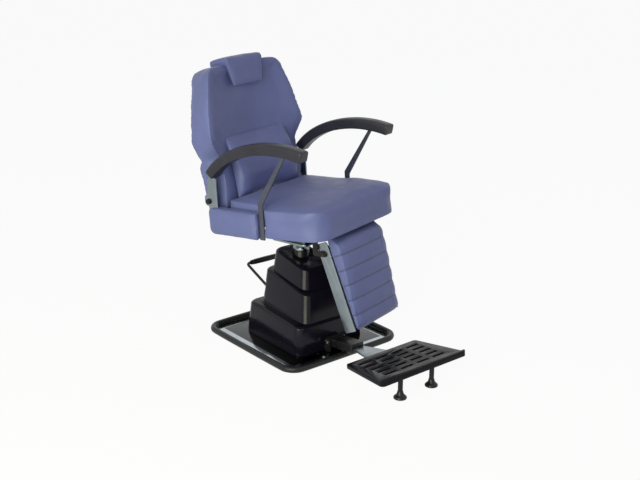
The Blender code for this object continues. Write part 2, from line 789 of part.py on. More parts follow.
def seat_cushion(tilt):
    """The seat cushion: its front part wraps down over the board, its stem lies between the panels."""
    deep = SEAT_EDGE - SEAT_SKIRT
    line = seat_line(0.0)
    mesh = cushion_mesh("seat", line, deep, SEAT_CROWN, SEAT_EDGE_ROLL, (0, 2 * SEAT_SHOULDER), SEAT_SKIRT)
    seat = add("seat_cushion", mesh, VINYL, tilt)
    under = BOARD_TOP + CLEAR
    wide = 4 * SEAT_HALF
    stem = box_mesh("stem_space", (wide, wide, wide))
    at = (0, SEAT_SHOULDER - CLEAR + wide / 2, under - wide / 2)
    cut(seat, add("stem_space", stem, None, tilt, at))
    pocket = flat_mesh(seat_line(BOARD_INSET - CLEAR), 2 * under)
    cut(seat, add("board_pocket", pocket, None, tilt))


def side_panel(side, sign, tilt):
    """An upholstered panel beside the seat, slotted for the rear arm post."""
    line = rounded(
        [
            (PANEL_BACK, PANEL_TOP, PANEL_CORNER),
            (PANEL_FRONT, PANEL_TOP, PANEL_CORNER / 3),
            (PANEL_FRONT, PANEL_LOW, PANEL_CORNER / 3),
            (PANEL_BACK, PANEL_LOW, 1.5 * PANEL_CORNER),
        ]
    )
    deep = PANEL_THICK - PANEL_CROWN
    centre = ((PANEL_FRONT + PANEL_BACK) / 2, (PANEL_LOW + PANEL_TOP) / 2)
    mesh = cushion_mesh("panel", line, deep, PANEL_CROWN, PANEL_ROLL, centre)
    mesh.transform(Matrix(((0, 0, sign, 0), (1, 0, 0, 0), (0, 1, 0, 0), (0, 0, 0, 1))))
    if sign < 0:
        mesh.flip_normals()
    panel = add("side_panel_" + side, mesh, VINYL, tilt, (sign * PANEL_INNER, 0, 0))
    size = (FLAT + 2 * CLEAR, POST_WIDE + 2 * CLEAR, 2 * (POST_SUNK + CLEAR))
    slot = add("post_slot_" + side, box_mesh("slot", size), None, tilt)
    slot.location = (sign * ARM_PLANE, post_middle(), PANEL_TOP)
    cut(panel, slot)


def post_middle():
    """Where the rear arm post stands, so that its rear edge reaches the back pivot's lobe."""
    return PIVOT_Y - POST_WIDE / 2


def arm_path():
    """Stations along the arm pad as ((y, z), forward direction), on one cubic arch from rear to front."""
    ends = [Vector(p) for p in (ARM_REAR, ARM_RISE, ARM_CREST, ARM_FRONT)]
    stations = []
    for i in range(ARM_STATIONS + 1):
        t = i / ARM_STATIONS
        s = 1 - t
        weights = (s**3, 3 * s * s * t, 3 * s * t * t, t**3)
        slopes = (-s * s, s * s - 2 * s * t, 2 * s * t - t * t, t * t)
        point = sum((w * p for w, p in zip(weights, ends)), Vector((0, 0)))
        forward = sum((w * p for w, p in zip(slopes, ends)), Vector((0, 0))).normalized()
        stations.append((point, forward))
    return stations


def arm_under(y):
    """Height of the arm pad's flat underside at y, less the usual gap."""
    low = []
    for point, forward in arm_path():
        down = Vector((forward.y, -forward.x))
        if down.y > 0:
            down = -down
        low.append(point + down * (ARM_DEEP / 2 + CLEAR))
    for a, b in zip(low, low[1:]):
        if b.x <= y <= a.x:
            return a.y + (b.y - a.y) * (y - a.x) / (b.x - a.x)
    return low[-1].y


def arm_pad(side, sign, tilt):
    """The moulded arch that the forearm lies on."""
    half_w = ARM_WIDE / 2
    half_d = ARM_DEEP / 2
    section = rounded(
        mirrored([(half_w, half_d, ARM_ROUND), (half_w, -half_d, ARM_ROUND / 3)]), steps=3
    )
    rings = []
    for point, forward in arm_path():
        up = Vector((-forward.y, forward.x))
        if up.y < 0:
            up = -up
        rings.append([(x, *(point + up * d)) for x, d in section])
    mesh = loft_mesh("arm_pad", rings)
    pad = add("arm_pad_" + side, mesh, ARM_PLASTIC, tilt, (sign * ARM_PLANE, 0, 0))
    soften(pad, ARM_ROUND / 2, 2)


def arm_strut(side, sign, tilt):
    """The bent flat bar from the front crossbar up to a tab under the arm pad."""
    half = BAR_WIDE / 2
    top = STRUT_TOP_WIDE / 2
    front = STRUT_TOP_Y - STRUT_TAB
    back = STRUT_TOP_Y + 2 * top
    tab = [(front + (back - front) * i / 6) for i in range(7)]
    under = arm_under(STRUT_TOP_Y) - STRUT_TAB_THICK
    line = [
        (FRONT_BAR_Y - half, STRUT_LOW),
        (FRONT_BAR_Y + half, STRUT_LOW),
        (FRONT_BAR_Y + half, STRUT_BEND_Z + half / 2),
        (STRUT_TOP_Y + top, under),
        (back, arm_under(back) - STRUT_TAB_THICK),
    ]
    line += [(y, arm_under(y)) for y in reversed(tab)]
    line += [
        (front, arm_under(front) - STRUT_TAB_THICK),
        (STRUT_TOP_Y - top, under),
        (FRONT_BAR_Y - half, STRUT_BEND_Z - half / 2),
    ]
    add("arm_strut_" + side, side_mesh(line, FLAT), DARK_STEEL, tilt, (sign * ARM_PLANE, 0, 0))


def arm_post(side, sign, tilt):
    """The rear plate from the panel up to the arm pad's end, with a lobe for the back pivot."""
    rear, forward = arm_path()[0]
    across = Vector((-forward.y, forward.x))
    if across.y < 0:
        across = -across
    seat = rear - forward * CLEAR
    slope = across.y / across.x
    back = PIVOT_Y
    front = back - POST_WIDE
    tip = back - POST_TIP
    front_high, tip_high = (seat.y + (y - seat.x) * slope - EDGE for y in (front, tip))
    lobe = PIVOT_LOBE
    line = rounded(
        [
            (front, PANEL_TOP - POST_SUNK, 0.002),
            (back, PANEL_TOP - POST_SUNK, 0.002),
            (back, PIVOT_Z - lobe, 0.001),
            (back + lobe, PIVOT_Z - lobe, lobe * 0.9),
            (back + lobe, PIVOT_Z + lobe, lobe * 0.9),
            (back, PIVOT_Z + 2 * lobe, 0.010),
            (back, tip_high - POST_FALL, 0.004),
            (tip, tip_high, 0.002),
            (front, front_high, 0.002),
        ]
    )
    post = add("arm_post_" + side, side_mesh(line, FLAT), GREY_STEEL, tilt, (sign * ARM_PLANE, 0, 0))
    drilled(post, PIN_RADIUS + CLEAR, (sign * ARM_PLANE, PIVOT_Y, PIVOT_Z), long=4 * FLAT)


def pivot_bolt(side, sign, tilt):
    """The shouldered bolt that one side of the back hinges on."""
    outer = ARM_PLANE + FLAT / 2 + CLEAR
    inner = ARM_PLANE - FLAT / 2 - CLEAR
    plate = HINGE_X + FLAT / 2 + CLEAR
    profile = (
        (0, outer + PIVOT_HEAD),
        (PIVOT_HEAD_RADIUS, outer + PIVOT_HEAD),
        (PIVOT_HEAD_RADIUS, outer),
        (PIN_RADIUS, outer),
        (PIN_RADIUS, inner),
        (PIVOT_SHOULDER, inner),
        (PIVOT_SHOULDER, plate),
        (PIN_RADIUS, plate),
        (PIN_RADIUS, HINGE_INNER),
        (0, HINGE_INNER),
    )
    turned("back_pivot_" + side, profile, BLACK_PAINT, tilt, (0, PIVOT_Y, PIVOT_Z), (0, 90 * sign, 0))


def leg_lug(side, sign, tilt):
    """A hooked lug under the seat frame that carries the leg rest's hinge rod from behind."""
    front = LEG_HINGE_Y - LEG_LUG_EYE
    back = RAIL_FRONT + BAR_WIDE
    low = -LEG_HINGE_DROP - LEG_LUG_EYE
    line = rounded(
        [
            (back, BAR_Z - CLEAR, 0.002),
            (RAIL_FRONT, BAR_Z - CLEAR, 0.002),
            (RAIL_FRONT, low + 2 * LEG_LUG_EYE, 0.002),
            (front, low + 2 * LEG_LUG_EYE, LEG_LUG_EYE * 0.9),
            (front, low, LEG_LUG_EYE * 0.9),
            (back, low, LEG_LUG_EYE),
        ]
    )
    lug = add("legrest_lug_" + side, side_mesh(line, FLAT), BLACK_PAINT, tilt, (sign * LEG_LUG_X, 0, 0))
    drilled(lug, PIN_RADIUS + CLEAR, (sign * LEG_LUG_X, LEG_HINGE_Y, -LEG_HINGE_DROP), long=4 * FLAT)


def back_line(drawn):
    """The back's outline: flared to its shoulders, then stepped in to a waist between the arm posts."""
    return rounded(
        mirrored(
            [
                (BACK_TOP_HALF - drawn, BACK_TOP - drawn, BACK_TOP_CORNER),
                (FLANK_HALF - drawn, FLANK_Z, FLANK_BEND),
                (SHOULDER_HALF - drawn, SHOULDER_Z, SHOULDER_CORNER),
                (WAIST_HALF, WAIST_Z, WAIST_CORNER),
                (WAIST_HALF, BACK_LOW + drawn, FOOT_CORNER),
            ]
        )
    )


def backrest(back):
    """Board, cushion, lumbar pad, hinge plates and headrest sockets."""
    board = flat_mesh(back_line(BACK_BOARD_INSET), BACK_BOARD_THICK)
    at = (0, BACK_BOARD_Y + BACK_BOARD_THICK / 2, 0)
    add("back_board", board, PLYWOOD, back, at, (90, 0, 0))
    rear = BACK_BOARD_Y - CLEAR
    deep = rear - BACK_FACE - BACK_CROWN
    line = divided(back_line(0.0), BACK_STEP)
    mesh = cushion_mesh("backrest", line, deep, BACK_CROWN, BACK_ROLL, (0, SHOULDER_Z))
    bm = bmesh.new()
    bm.from_mesh(mesh)
    whole = deep + BACK_CROWN
    for vertex in bm.verts:
        share = vertex.co.z / whole
        hollowed = whole - dish(vertex.co.x, vertex.co.y)
        vertex.co.z = share * min(hollowed, rear + heel(vertex.co.y))
    bmesh.ops.triangulate(bm, faces=bm.faces)
    bm.to_mesh(mesh)
    bm.free()
    cushion = add("backrest_cushion", mesh, VINYL, back, (0, rear, 0), (90, 0, 0))
    hollow = add("back_face", mesh.copy(), None, back, (0, rear - CLEAR, 0), (90, 0, 0))
    mesh = loft_mesh("lumbar", lumbar_rings())
    cut(add("lumbar_cushion", mesh, VINYL, back, (0, BACK_FACE, LUMBAR_LOW)), hollow)
    waist_pad(back)
    low = BACK_TOP - SOCKET_SET - SOCKET_LONG
    for side, sign in SIDES.items():
        hinge_plate(side, sign, back)
        bore = POST_RADIUS + CLEAR
        tube = ((bore, 0), (bore, SOCKET_LONG), (SOCKET_RADIUS, SOCKET_LONG), (SOCKET_RADIUS, 0))
        turned("headrest_socket_" + side, tube, GREY_STEEL, back, (sign * SOCKET_X, SOCKET_Y, low))
        hole = rod_mesh("hole", SOCKET_RADIUS + CLEAR, 2 * (SOCKET_LONG + SOCKET_SET + CLEAR))
        cut(cushion, add("socket_hole_" + side, hole, None, back, (sign * SOCKET_X, SOCKET_Y, BACK_TOP)))


def dish(x, z):
    """How far the face of the back is hollowed at x and z: most along its middle, fading to its top."""
    fade = min(1.0, max(0.0, (DISH_TOP - z) / (DISH_TOP - DISH_FULL)))
    return BACK_DISH * max(0.0, 1 - (x / SHOULDER_HALF) ** 2) * fade


def heel(z):
    """How far the back may stand ahead of its pivot at z, so that its foot turns clear of the seat."""
    if z >= 0:
        return HEEL_SWEEP + HEEL_SLOPE * z
    return math.sqrt(max(0.0, HEEL_SWEEP**2 - z * z))


def lumbar_rings():
    """Sections of the lumbar pad across the back: a wedge that swells to its foot and closes at its ends."""
    high = LUMBAR_TOP - LUMBAR_LOW
    rings = []
    for share in (-1.0, -0.97, -0.9, -0.75, -0.4, 0.0, 0.4, 0.75, 0.9, 0.97, 1.0):
        swell = LUMBAR_DEEP * math.sqrt(max(0.0, 1 - abs(share) ** 12))
        short = LUMBAR_EDGE * abs(share) ** 12
        x = share * LUMBAR_HALF
        root = max(dish(x, LUMBAR_LOW), -BACK_FACE - heel(LUMBAR_LOW)) + 2 * BACK_CROWN
        ring = [(root, short), (root, high - short)]
        for i in range(13):
            u = 1 - i / 12
            z = short + (high - 2 * short) * u
            proud = LUMBAR_EDGE + swell * math.sin(math.pi * u**LUMBAR_SKEW)
            ring.append((dish(x, LUMBAR_LOW + z) - proud, z))
        rings.append([(x, y, z) for y, z in ring])
    return rings


def waist_pad(back):
    """The padded cover behind the waist of the back board."""
    low = BACK_LOW + BACK_BOARD_INSET
    half = WAIST_HALF - BACK_BOARD_INSET / 2
    corner = WAIST_CORNER
    line = rounded(mirrored([(half, WAIST_Z, corner), (half, low, corner)]))
    middle = (0, (WAIST_Z + low) / 2)
    edge = WAIST_PAD - WAIST_PAD_CROWN
    mesh = cushion_mesh("waist_pad", line, edge, WAIST_PAD_CROWN, WAIST_PAD_ROLL, middle)
    mesh.transform(Matrix.Rotation(math.radians(180), 4, "Y"))
    add("back_waist_pad", mesh, VINYL, back, (0, BACK_REAR + CLEAR, 0), (90, 0, 0))


def hinge_plate(side, sign, back):
    """The steel plate on one edge of the back board that turns on the pivot bolt."""
    line = rounded(
        [
            (BACK_REAR, HINGE_TOP, 0.008),
            (HINGE_FRONT, HINGE_TOP, 0.008),
            (HINGE_FRONT, -PIVOT_LOBE, PIVOT_LOBE * 0.8),
            (BACK_REAR, -PIVOT_LOBE, PIVOT_LOBE * 0.8),
        ]
    )
    plate = add("back_hinge_" + side, side_mesh(line, FLAT), BLACK_PAINT, back, (sign * HINGE_X, 0, 0))
    drilled(plate, PIN_RADIUS + CLEAR, (sign * HINGE_X, 0, 0), long=4 * FLAT)


def headrest(head):
    """A pad draped over the top of the back, on two posts that slide in the sockets."""
    inner = BACK_FACE + dish(HEAD_HALF, BACK_TOP) - HEAD_GAP
    outer = inner - HEAD_THICK
    top = HEAD_LOW_Z + HEAD_TOP_THICK
    low = HEAD_LOW_Z - HEAD_DROP
    line = rounded(
        [
            (HEAD_REAR, HEAD_LOW_Z, HEAD_THICK / 4),
            (HEAD_REAR, top, HEAD_TOP_THICK / 2),
            (outer, top, HEAD_THICK * 0.9),
            (inner - HEAD_LOW_THICK, low, HEAD_LOW_THICK / 2),
            (inner, low, HEAD_LOW_THICK / 4),
            (inner, HEAD_LOW_Z, HEAD_SEAT),
        ]
    )
    mesh = side_mesh(line, 2 * HEAD_HALF)
    taper = (HEAD_HALF - HEAD_LOW_HALF) / HEAD_HALF
    for vertex in mesh.vertices:
        fall = min(1.0, max(0.0, (HEAD_LOW_Z - vertex.co.z) / HEAD_DROP))
        vertex.co.x *= 1 - taper * fall
    soften(add("headrest_pad", mesh, VINYL, head), HEAD_SOFT, 2)
    high = HEAD_LOW_Z - CLEAR
    for side, sign in SIDES.items():
        at = (sign * SOCKET_X, SOCKET_Y, high - POST_LONG / 2)
        add("headrest_post_" + side, rod_mesh("post", POST_RADIUS, POST_LONG), CHROME, head, at)


def leg_pad_rings():
    """Sections of the leg pad from its foot up: thicker to the top, rounded sides and sewn channels."""
    back = LEG_BAR_FRONT - CLEAR
    per_channel = 4
    count = LEG_CHANNELS * per_channel
    long = LEG_LONG + LEG_PAD_HEAD
    across = 10
    rings = []
    for i in range(count + 1):
        t = i / count
        end = i in (0, count)
        bulge = abs(math.sin(math.pi * LEG_CHANNELS * t)) ** 0.6
        half = LEG_PAD_LOW_HALF + (LEG_PAD_TOP_HALF - LEG_PAD_LOW_HALF) * t
        half -= LEG_PAD_ROUND / 2 if end else 0.0
        edge = LEG_PAD_LOW_EDGE + (LEG_PAD_TOP_EDGE - LEG_PAD_LOW_EDGE) * t
        edge -= LEG_PAD_ROUND if end else 0.0
        ring = [(half - LEG_PAD_ROUND / 3, back), (half, back - edge / 3)]
        for k in range(across + 1):
            s = 1 - 2 * k / across
            crown = LEG_PAD_CROWN * (1 - s * s)
            sewn = LEG_CHANNEL_DEPTH * (1 - bulge) * (0.0 if end else 1.0)
            side = LEG_PAD_ROUND / 2 if k in (0, across) else 0.0
            inward = LEG_PAD_ROUND / 4 if k in (0, across) else 0.0
            ring.append((s * (half - inward), back - edge - crown + sewn + side))
        ring += [(-half, back - edge / 3), (-half + LEG_PAD_ROUND / 3, back)]
        rings.append([(x, y, -LEG_LONG + long * t) for x, y in ring])
    return rings


def leg_rest(leg):
    """Side bars on a hinge rod, a tie rod, a board and the channelled pad."""
    rod_half = LEG_LUG_X + FLAT
    rod = rod_mesh("legrest_hinge_rod", PIN_RADIUS, 2 * rod_half, "X")
    add("legrest_hinge_rod", rod, BLACK_PAINT, leg)
    inside = LEG_BAR_X - LEG_BAR_THICK / 2 - CLEAR
    line = rounded(
        [
            (LEG_BAR_BACK, LEG_HEAD, 0.010),
            (LEG_BAR_FRONT, LEG_HEAD, 0.010),
            (LEG_BAR_FRONT, -LEG_LONG, 0.004),
            (LEG_BAR_BACK, -LEG_LONG, 0.004),
        ]
    )
    for side, sign in SIDES.items():
        at = (sign * LEG_BAR_X, 0, 0)
        plate = add("legrest_bar_" + side, side_mesh(line, LEG_BAR_THICK), GREY_STEEL, leg, at)
        drilled(plate, PIN_RADIUS + CLEAR, at, long=4 * LEG_BAR_THICK)
    board_top = LEG_PAD_HEAD - LEG_BOARD_END
    board_low = -LEG_LONG + LEG_BOARD_END
    size = (2 * inside, LEG_BOARD_THICK, board_top - board_low)
    at = (0, LEG_BAR_FRONT + LEG_BOARD_THICK / 2, (board_top + board_low) / 2)
    add("legrest_board", box_mesh("legrest_board", size), PLYWOOD, leg, at)
    add("legrest_pad", loft_mesh("legrest_pad", leg_pad_rings()), VINYL, leg)
    tie = rod_mesh("legrest_tie", LEG_TIE_RADIUS, 2 * inside, "X")
    tie_y = LEG_BAR_FRONT + LEG_BOARD_THICK + CLEAR + LEG_TIE_RADIUS
    add("legrest_tie", tie, GREY_STEEL, leg, (0, tie_y, -LEG_LONG + LEG_TIE_UP))


def footrest(foot):
    """The tube on its pin, the flared tongue, the grated footplate and the pegs that stand on the floor."""
    half = FOOT_TUBE_WIDE / 2 + 2 * CLEAR + FOOT_LUG_THICK
    profile = (
        (0, half + FOOT_PIN_HEAD_THICK),
        (FOOT_PIN_HEAD, half + FOOT_PIN_HEAD_THICK),
        (FOOT_PIN_HEAD, half),
        (PIN_RADIUS, half),
        (PIN_RADIUS, -half),
        (FOOT_PIN_HEAD, -half),
        (FOOT_PIN_HEAD, -half - FOOT_PIN_HEAD_THICK),
        (0, -half - FOOT_PIN_HEAD_THICK),
    )
    turned("footrest_pin", profile, CHROME, foot, (0, 0, 0), (0, 90, 0))
    long = FOOT_TUBE_LONG + FOOT_TUBE_TAIL
    size = (FOOT_TUBE_WIDE, long, FOOT_TUBE_HIGH)
    tube_middle = FOOT_TUBE_TAIL - long / 2
    tube = add("footrest_tube", box_mesh("footrest_tube", size), BLACK_PAINT, foot, (0, tube_middle, 0))
    soften(tube, 2 * EDGE)
    drilled(tube, PIN_RADIUS + CLEAR, (0, 0, 0), long=2 * FOOT_TUBE_WIDE)
    mouth = -FOOT_TUBE_LONG
    sunk = (TONGUE_WIDE + 2 * CLEAR, 2 * (TONGUE_SUNK + CLEAR), TONGUE_THICK + 2 * CLEAR)
    cut(tube, add("tongue_slot", box_mesh("tongue_slot", sunk), None, foot, (0, mouth, 0)))
    root = mouth + TONGUE_SUNK
    line = rounded(
        mirrored(
            [
                (TONGUE_WIDE / 2, root, 0.002),
                (TONGUE_WIDE / 2, mouth - EDGE, 0.030),
                (TONGUE_FLARE, TREAD_BACK_Y, 0.010),
                (TONGUE_FLARE, TREAD_BACK_Y - TONGUE_UNDER, 0.010),
            ]
        )
    )
    add("footrest_tongue", flat_mesh(line, TONGUE_THICK), GREY_STEEL, foot)
    footplate(foot)
    for side, sign in SIDES.items():
        peg(side, sign)


def footplate(foot):
    """A trapezoid tread with rows of slots and a raised lip along its front edge."""
    back = TREAD_BACK_Y
    front = TREAD_FRONT_Y
    low = TONGUE_TOP + CLEAR
    top = low + TREAD_THICK
    corners = [(TREAD_BACK_HALF, back, TREAD_CORNER), (TREAD_FRONT_HALF, front, TREAD_CORNER)]
    plate = flat_mesh(rounded(mirrored(corners)), TREAD_THICK + LIP_HIGH)
    middle = low + (TREAD_THICK + LIP_HIGH) / 2
    tread = add("footplate", plate, BLACK_PAINT, foot, (0, 0, middle))
    wide = 4 * TREAD_FRONT_HALF
    over = box_mesh("tread_top", (wide, TREAD_DEEP, 2 * LIP_HIGH))
    at = (0, front + LIP_DEEP + TREAD_DEEP / 2, top + LIP_HIGH)
    cut(tread, add("tread_top", over, None, foot, at))
    bm = bmesh.new()
    centre_y = (front + LIP_DEEP + back) / 2
    for column in range(SLOT_COLUMNS):
        for row in range(SLOT_ROWS):
            x = (column - (SLOT_COLUMNS - 1) / 2) * SLOT_PITCH_X
            y = centre_y + (row - (SLOT_ROWS - 1) / 2) * SLOT_PITCH_Y
            where = Matrix.Translation((x, y, middle))
            size = Matrix.Diagonal((SLOT_LONG, SLOT_WIDE, 4 * TREAD_THICK, 1))
            bmesh.ops.create_cube(bm, size=1.0, matrix=where @ size)
    cut(tread, add("tread_slots", mesh_of("tread_slots", bm), None, foot))


def peg(side, sign):
    """A stem under the footplate's front with a round foot on the floor."""
    rise = math.radians(FOOT_RISE)
    along = TREAD_FRONT_Y + LIP_DEEP + PEG_SET_BACK
    low = TONGUE_TOP
    y = FOOT_PIN_Y + along * math.cos(rise) + low * math.sin(rise)
    top = FOOT_PIN_Z - along * math.sin(rise) + low * math.cos(rise)
    profile = (
        (0, top),
        (PEG_STEM, top),
        (PEG_STEM, PEG_DISC_THICK + PEG_NECK),
        (PEG_STEM * 1.5, PEG_DISC_THICK + PEG_NECK / 4),
        (PEG_DISC * 0.8, PEG_DISC_THICK),
        (PEG_DISC, PEG_DISC_THICK / 2),
        (PEG_DISC, 0),
        (0, 0),
    )
    stem = turned("foot_peg_" + side, profile, BLACK_PAINT, None, (sign * PEG_X, y, 0))
    wide = 8 * PEG_STEM
    trim = add("peg_trim_" + side, box_mesh("peg_trim", (wide, wide, wide)), None)
    place(trim, None, (sign * PEG_X, y, top), (-FOOT_RISE, 0, 0))
    trim.data.transform(Matrix.Translation((0, 0, wide / 2 - CLEAR)))
    cut(stem, trim)


def chair():
    """Builds the parts from the floor up, each group under the empty of its joint."""
    base()
    pump_lever()
    ram()
    swivel = frame_empty("seat_swivel", None, (0, 0, 0), (0, 0, REST_SWIVEL))
    swivel_mount(swivel)
    tilt = frame_empty("seat_tilt", swivel, (0, 0, SEAT_Z), (-SEAT_TILT, 0, 0))
    seat_frame(tilt)
    seat_cushion(tilt)
    for side, sign in SIDES.items():
        side_panel(side, sign, tilt)
        arm_pad(side, sign, tilt)
        arm_strut(side, sign, tilt)
        arm_post(side, sign, tilt)
        pivot_bolt(side, sign, tilt)
        leg_lug(side, sign, tilt)
    back = frame_empty("back_recline", tilt, (0, PIVOT_Y, PIVOT_Z), (-BACK_LEAN, 0, 0))
    backrest(back)
    headrest(frame_empty("headrest_slide", back))
    leg_rest(frame_empty("legrest_hinge", tilt, (0, LEG_HINGE_Y, -LEG_HINGE_DROP), (-LEG_LEAN, 0, 0)))
    footrest(frame_empty("footrest_hinge", None, (0, FOOT_PIN_Y, FOOT_PIN_Z), (-FOOT_RISE, 0, 0)))


chair()
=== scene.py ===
"""A barber chair in blue-violet vinyl: stuffed covers, metal, moulded pieces and a plain studio."""

import json
import logging
import math
from contextlib import contextmanager
from dataclasses import dataclass, field
from enum import Enum
from typing import Iterator, Sequence

import bpy
import numpy as np
from mathutils import Matrix, Vector


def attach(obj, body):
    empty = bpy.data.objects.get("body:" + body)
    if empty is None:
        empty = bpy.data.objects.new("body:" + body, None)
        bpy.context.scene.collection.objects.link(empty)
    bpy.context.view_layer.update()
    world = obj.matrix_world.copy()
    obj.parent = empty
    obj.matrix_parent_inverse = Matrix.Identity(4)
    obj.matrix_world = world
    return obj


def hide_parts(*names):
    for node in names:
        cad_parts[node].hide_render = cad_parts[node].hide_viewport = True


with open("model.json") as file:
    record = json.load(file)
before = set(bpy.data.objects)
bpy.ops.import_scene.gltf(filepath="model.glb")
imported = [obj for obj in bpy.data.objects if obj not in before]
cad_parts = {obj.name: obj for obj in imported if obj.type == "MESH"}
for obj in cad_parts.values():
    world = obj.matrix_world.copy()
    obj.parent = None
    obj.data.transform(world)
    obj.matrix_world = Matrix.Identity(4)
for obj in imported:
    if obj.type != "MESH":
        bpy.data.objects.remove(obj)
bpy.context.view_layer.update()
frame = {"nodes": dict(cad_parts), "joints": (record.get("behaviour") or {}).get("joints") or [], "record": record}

LOG = logging.getLogger("barber_chair")
Colour = tuple[float, float, float]
Point = tuple[float, float, float]
Span = tuple[float, float]

# Rest angles of the chair in degrees
REST_SWIVEL = 15.0
SEAT_TILT = 4.0
BACK_LEAN = 11.5
LEG_LEAN = 18.5

# Metres from the floor to the seat frame's origin
SEAT_HEIGHT = 0.4775

# Working tolerances: points merged (metres), facets taken as flat and triangles joined (degrees, radians)
MERGE = 1e-5
FLAT_DEGREES = 0.5
QUAD_ANGLE = 0.7

# The cloth simulation that swells a cover
SIM_FRAMES = 10
LEAST_HOLD = 0.02
CLOTH_SETTINGS = {
    "quality": 3,
    "mass": 0.3,
    "tension_stiffness": 15.0,
    "compression_stiffness": 15.0,
    "shear_stiffness": 5.0,
    "bending_stiffness": 0.6,
    "use_pressure": True,
}


class Slot(Enum):
    """The record's material slots."""

    VINYL = "vinyl"
    ARM = "arm_plastic"
    COVER = "cover_gloss"
    PAINT = "black_paint"
    CASTING = "black_casting"
    STEEL = "grey_steel"
    DARK_STEEL = "dark_steel"
    PLATE = "polished_steel"
    CHROME = "chrome"
    BRONZE = "bronze"
    RUBBER = "black_rubber"
    PLY = "plywood"


class Side(Enum):
    """The sitter's two sides, with the sign of their X."""

    RIGHT = -1
    LEFT = 1

    @property
    def word(self) -> str:
        """The side's name in node names."""
        return self.name.lower()


@dataclass(frozen=True)
class Axes:
    """A frame fixed to one sub-assembly: x to the sitter's left, y to the rear, z up along it."""

    origin: Vector
    turn: Matrix

    def local(self, points: np.ndarray) -> np.ndarray:
        """World points in this frame."""
        return (points - np.array(self.origin)) @ np.array(self.turn)

    def world(self, points: np.ndarray) -> np.ndarray:
        """Points of this frame in the world."""
        return points @ np.array(self.turn).T + np.array(self.origin)


def leaning(origin: Sequence[float], lean: float) -> Axes:
    """A frame that leans back and is swivelled with the seat.

    Args:
        origin: The frame's origin in the world.
        lean: Degrees that its z axis leans to the rear.

    Returns:
        The frame.
    """
    swivelled = Matrix.Rotation(math.radians(REST_SWIVEL), 3, "Z")
    leant = Matrix.Rotation(math.radians(-lean), 3, "X")
    return Axes(Vector(origin), swivelled @ leant)


def joint_place(name: str) -> Sequence[float]:
    """A joint's place in the world."""
    return next(joint["pos_m"] for joint in frame["joints"] if joint["name"] == name)


SEAT = leaning((0.0, 0.0, SEAT_HEIGHT), SEAT_TILT)
BACK = leaning(joint_place("back_recline"), SEAT_TILT + BACK_LEAN)
LEG = leaning(joint_place("legrest_swing"), SEAT_TILT + LEG_LEAN)


def deselect() -> None:
    """Leaves nothing selected."""
    bpy.ops.object.select_all(action="DESELECT")


def activate(piece: bpy.types.Object) -> None:
    """Makes one object the only selected and the active one."""
    deselect()
    piece.select_set(True)
    bpy.context.view_layer.objects.active = piece


@contextmanager
def editing(piece: bpy.types.Object) -> Iterator[None]:
    """Edit mode on one object with all of its mesh selected."""
    activate(piece)
    bpy.ops.object.mode_set(mode="EDIT")
    bpy.ops.mesh.select_all(action="SELECT")
    yield
    bpy.ops.object.mode_set(mode="OBJECT")


def apply_modifier(piece: bpy.types.Object, kind: str, **settings: object) -> None:
    """Adds a modifier with these settings and applies it."""
    modifier = piece.modifiers.new(kind.lower(), kind)
    for key, value in settings.items():
        setattr(modifier, key, value)
    activate(piece)
    bpy.ops.object.modifier_apply(modifier=modifier.name)


def shade(piece: bpy.types.Object, angle: float) -> None:
    """Shades a piece smooth, with edges over an angle in degrees kept sharp."""
    activate(piece)
    bpy.ops.object.shade_smooth_by_angle(angle=math.radians(angle))


def coordinates(mesh: bpy.types.Mesh) -> np.ndarray:
    """A mesh's points as rows."""
    flat = np.empty(len(mesh.vertices) * 3, np.float32)
    mesh.vertices.foreach_get("co", flat)
    return flat.reshape(-1, 3).astype(float)


def normals(mesh: bpy.types.Mesh) -> np.ndarray:
    """A mesh's vertex normals as rows."""
    flat = np.empty(len(mesh.vertices) * 3, np.float32)
    mesh.vertex_normals.foreach_get("vector", flat)
    return flat.reshape(-1, 3).astype(float)


def move_points(mesh: bpy.types.Mesh, points: np.ndarray) -> None:
    """Sets a mesh's points."""
    mesh.vertices.foreach_set("co", points.astype(np.float32).ravel())
    mesh.update()


def edge_ends(mesh: bpy.types.Mesh) -> np.ndarray:
    """The two points of each edge of a mesh as rows."""
    flat = np.empty(len(mesh.edges) * 2, np.int32)
    mesh.edges.foreach_get("vertices", flat)
    return flat.reshape(-1, 2)


def relaxed(
    rows: np.ndarray, edges: np.ndarray, rounds: int, share: np.ndarray | float = 1.0
) -> np.ndarray:
    """Draws each row towards the mean of its neighbours.

    Args:
        rows: Three values for each point of a mesh.
        edges: The mesh's edges.
        rounds: How often this is done.
        share: How much of it each point takes, from 0 to 1.

    Returns:
        The evened rows.
    """
    count = len(rows)
    first, second = edges[:, 0], edges[:, 1]
    near_by = np.maximum(np.bincount(edges.ravel(), minlength=count), 1)[:, None]
    pull = 0.5 * np.broadcast_to(np.asarray(share, float), (count,))[:, None]
    for _ in range(rounds):
        total = np.empty_like(rows)
        for axis in range(3):
            value = rows[:, axis]
            total[:, axis] = np.bincount(first, value[second], count)
            total[:, axis] += np.bincount(second, value[first], count)
        rows = rows + pull * (total / near_by - rows)
    return rows


def ramp(value: np.ndarray, start: float, end: float) -> np.ndarray:
    """A smooth rise from 0 at start to 1 at end."""
    share = np.clip((value - start) / (end - start), 0.0, 1.0)
    return share * share * (3.0 - 2.0 * share)


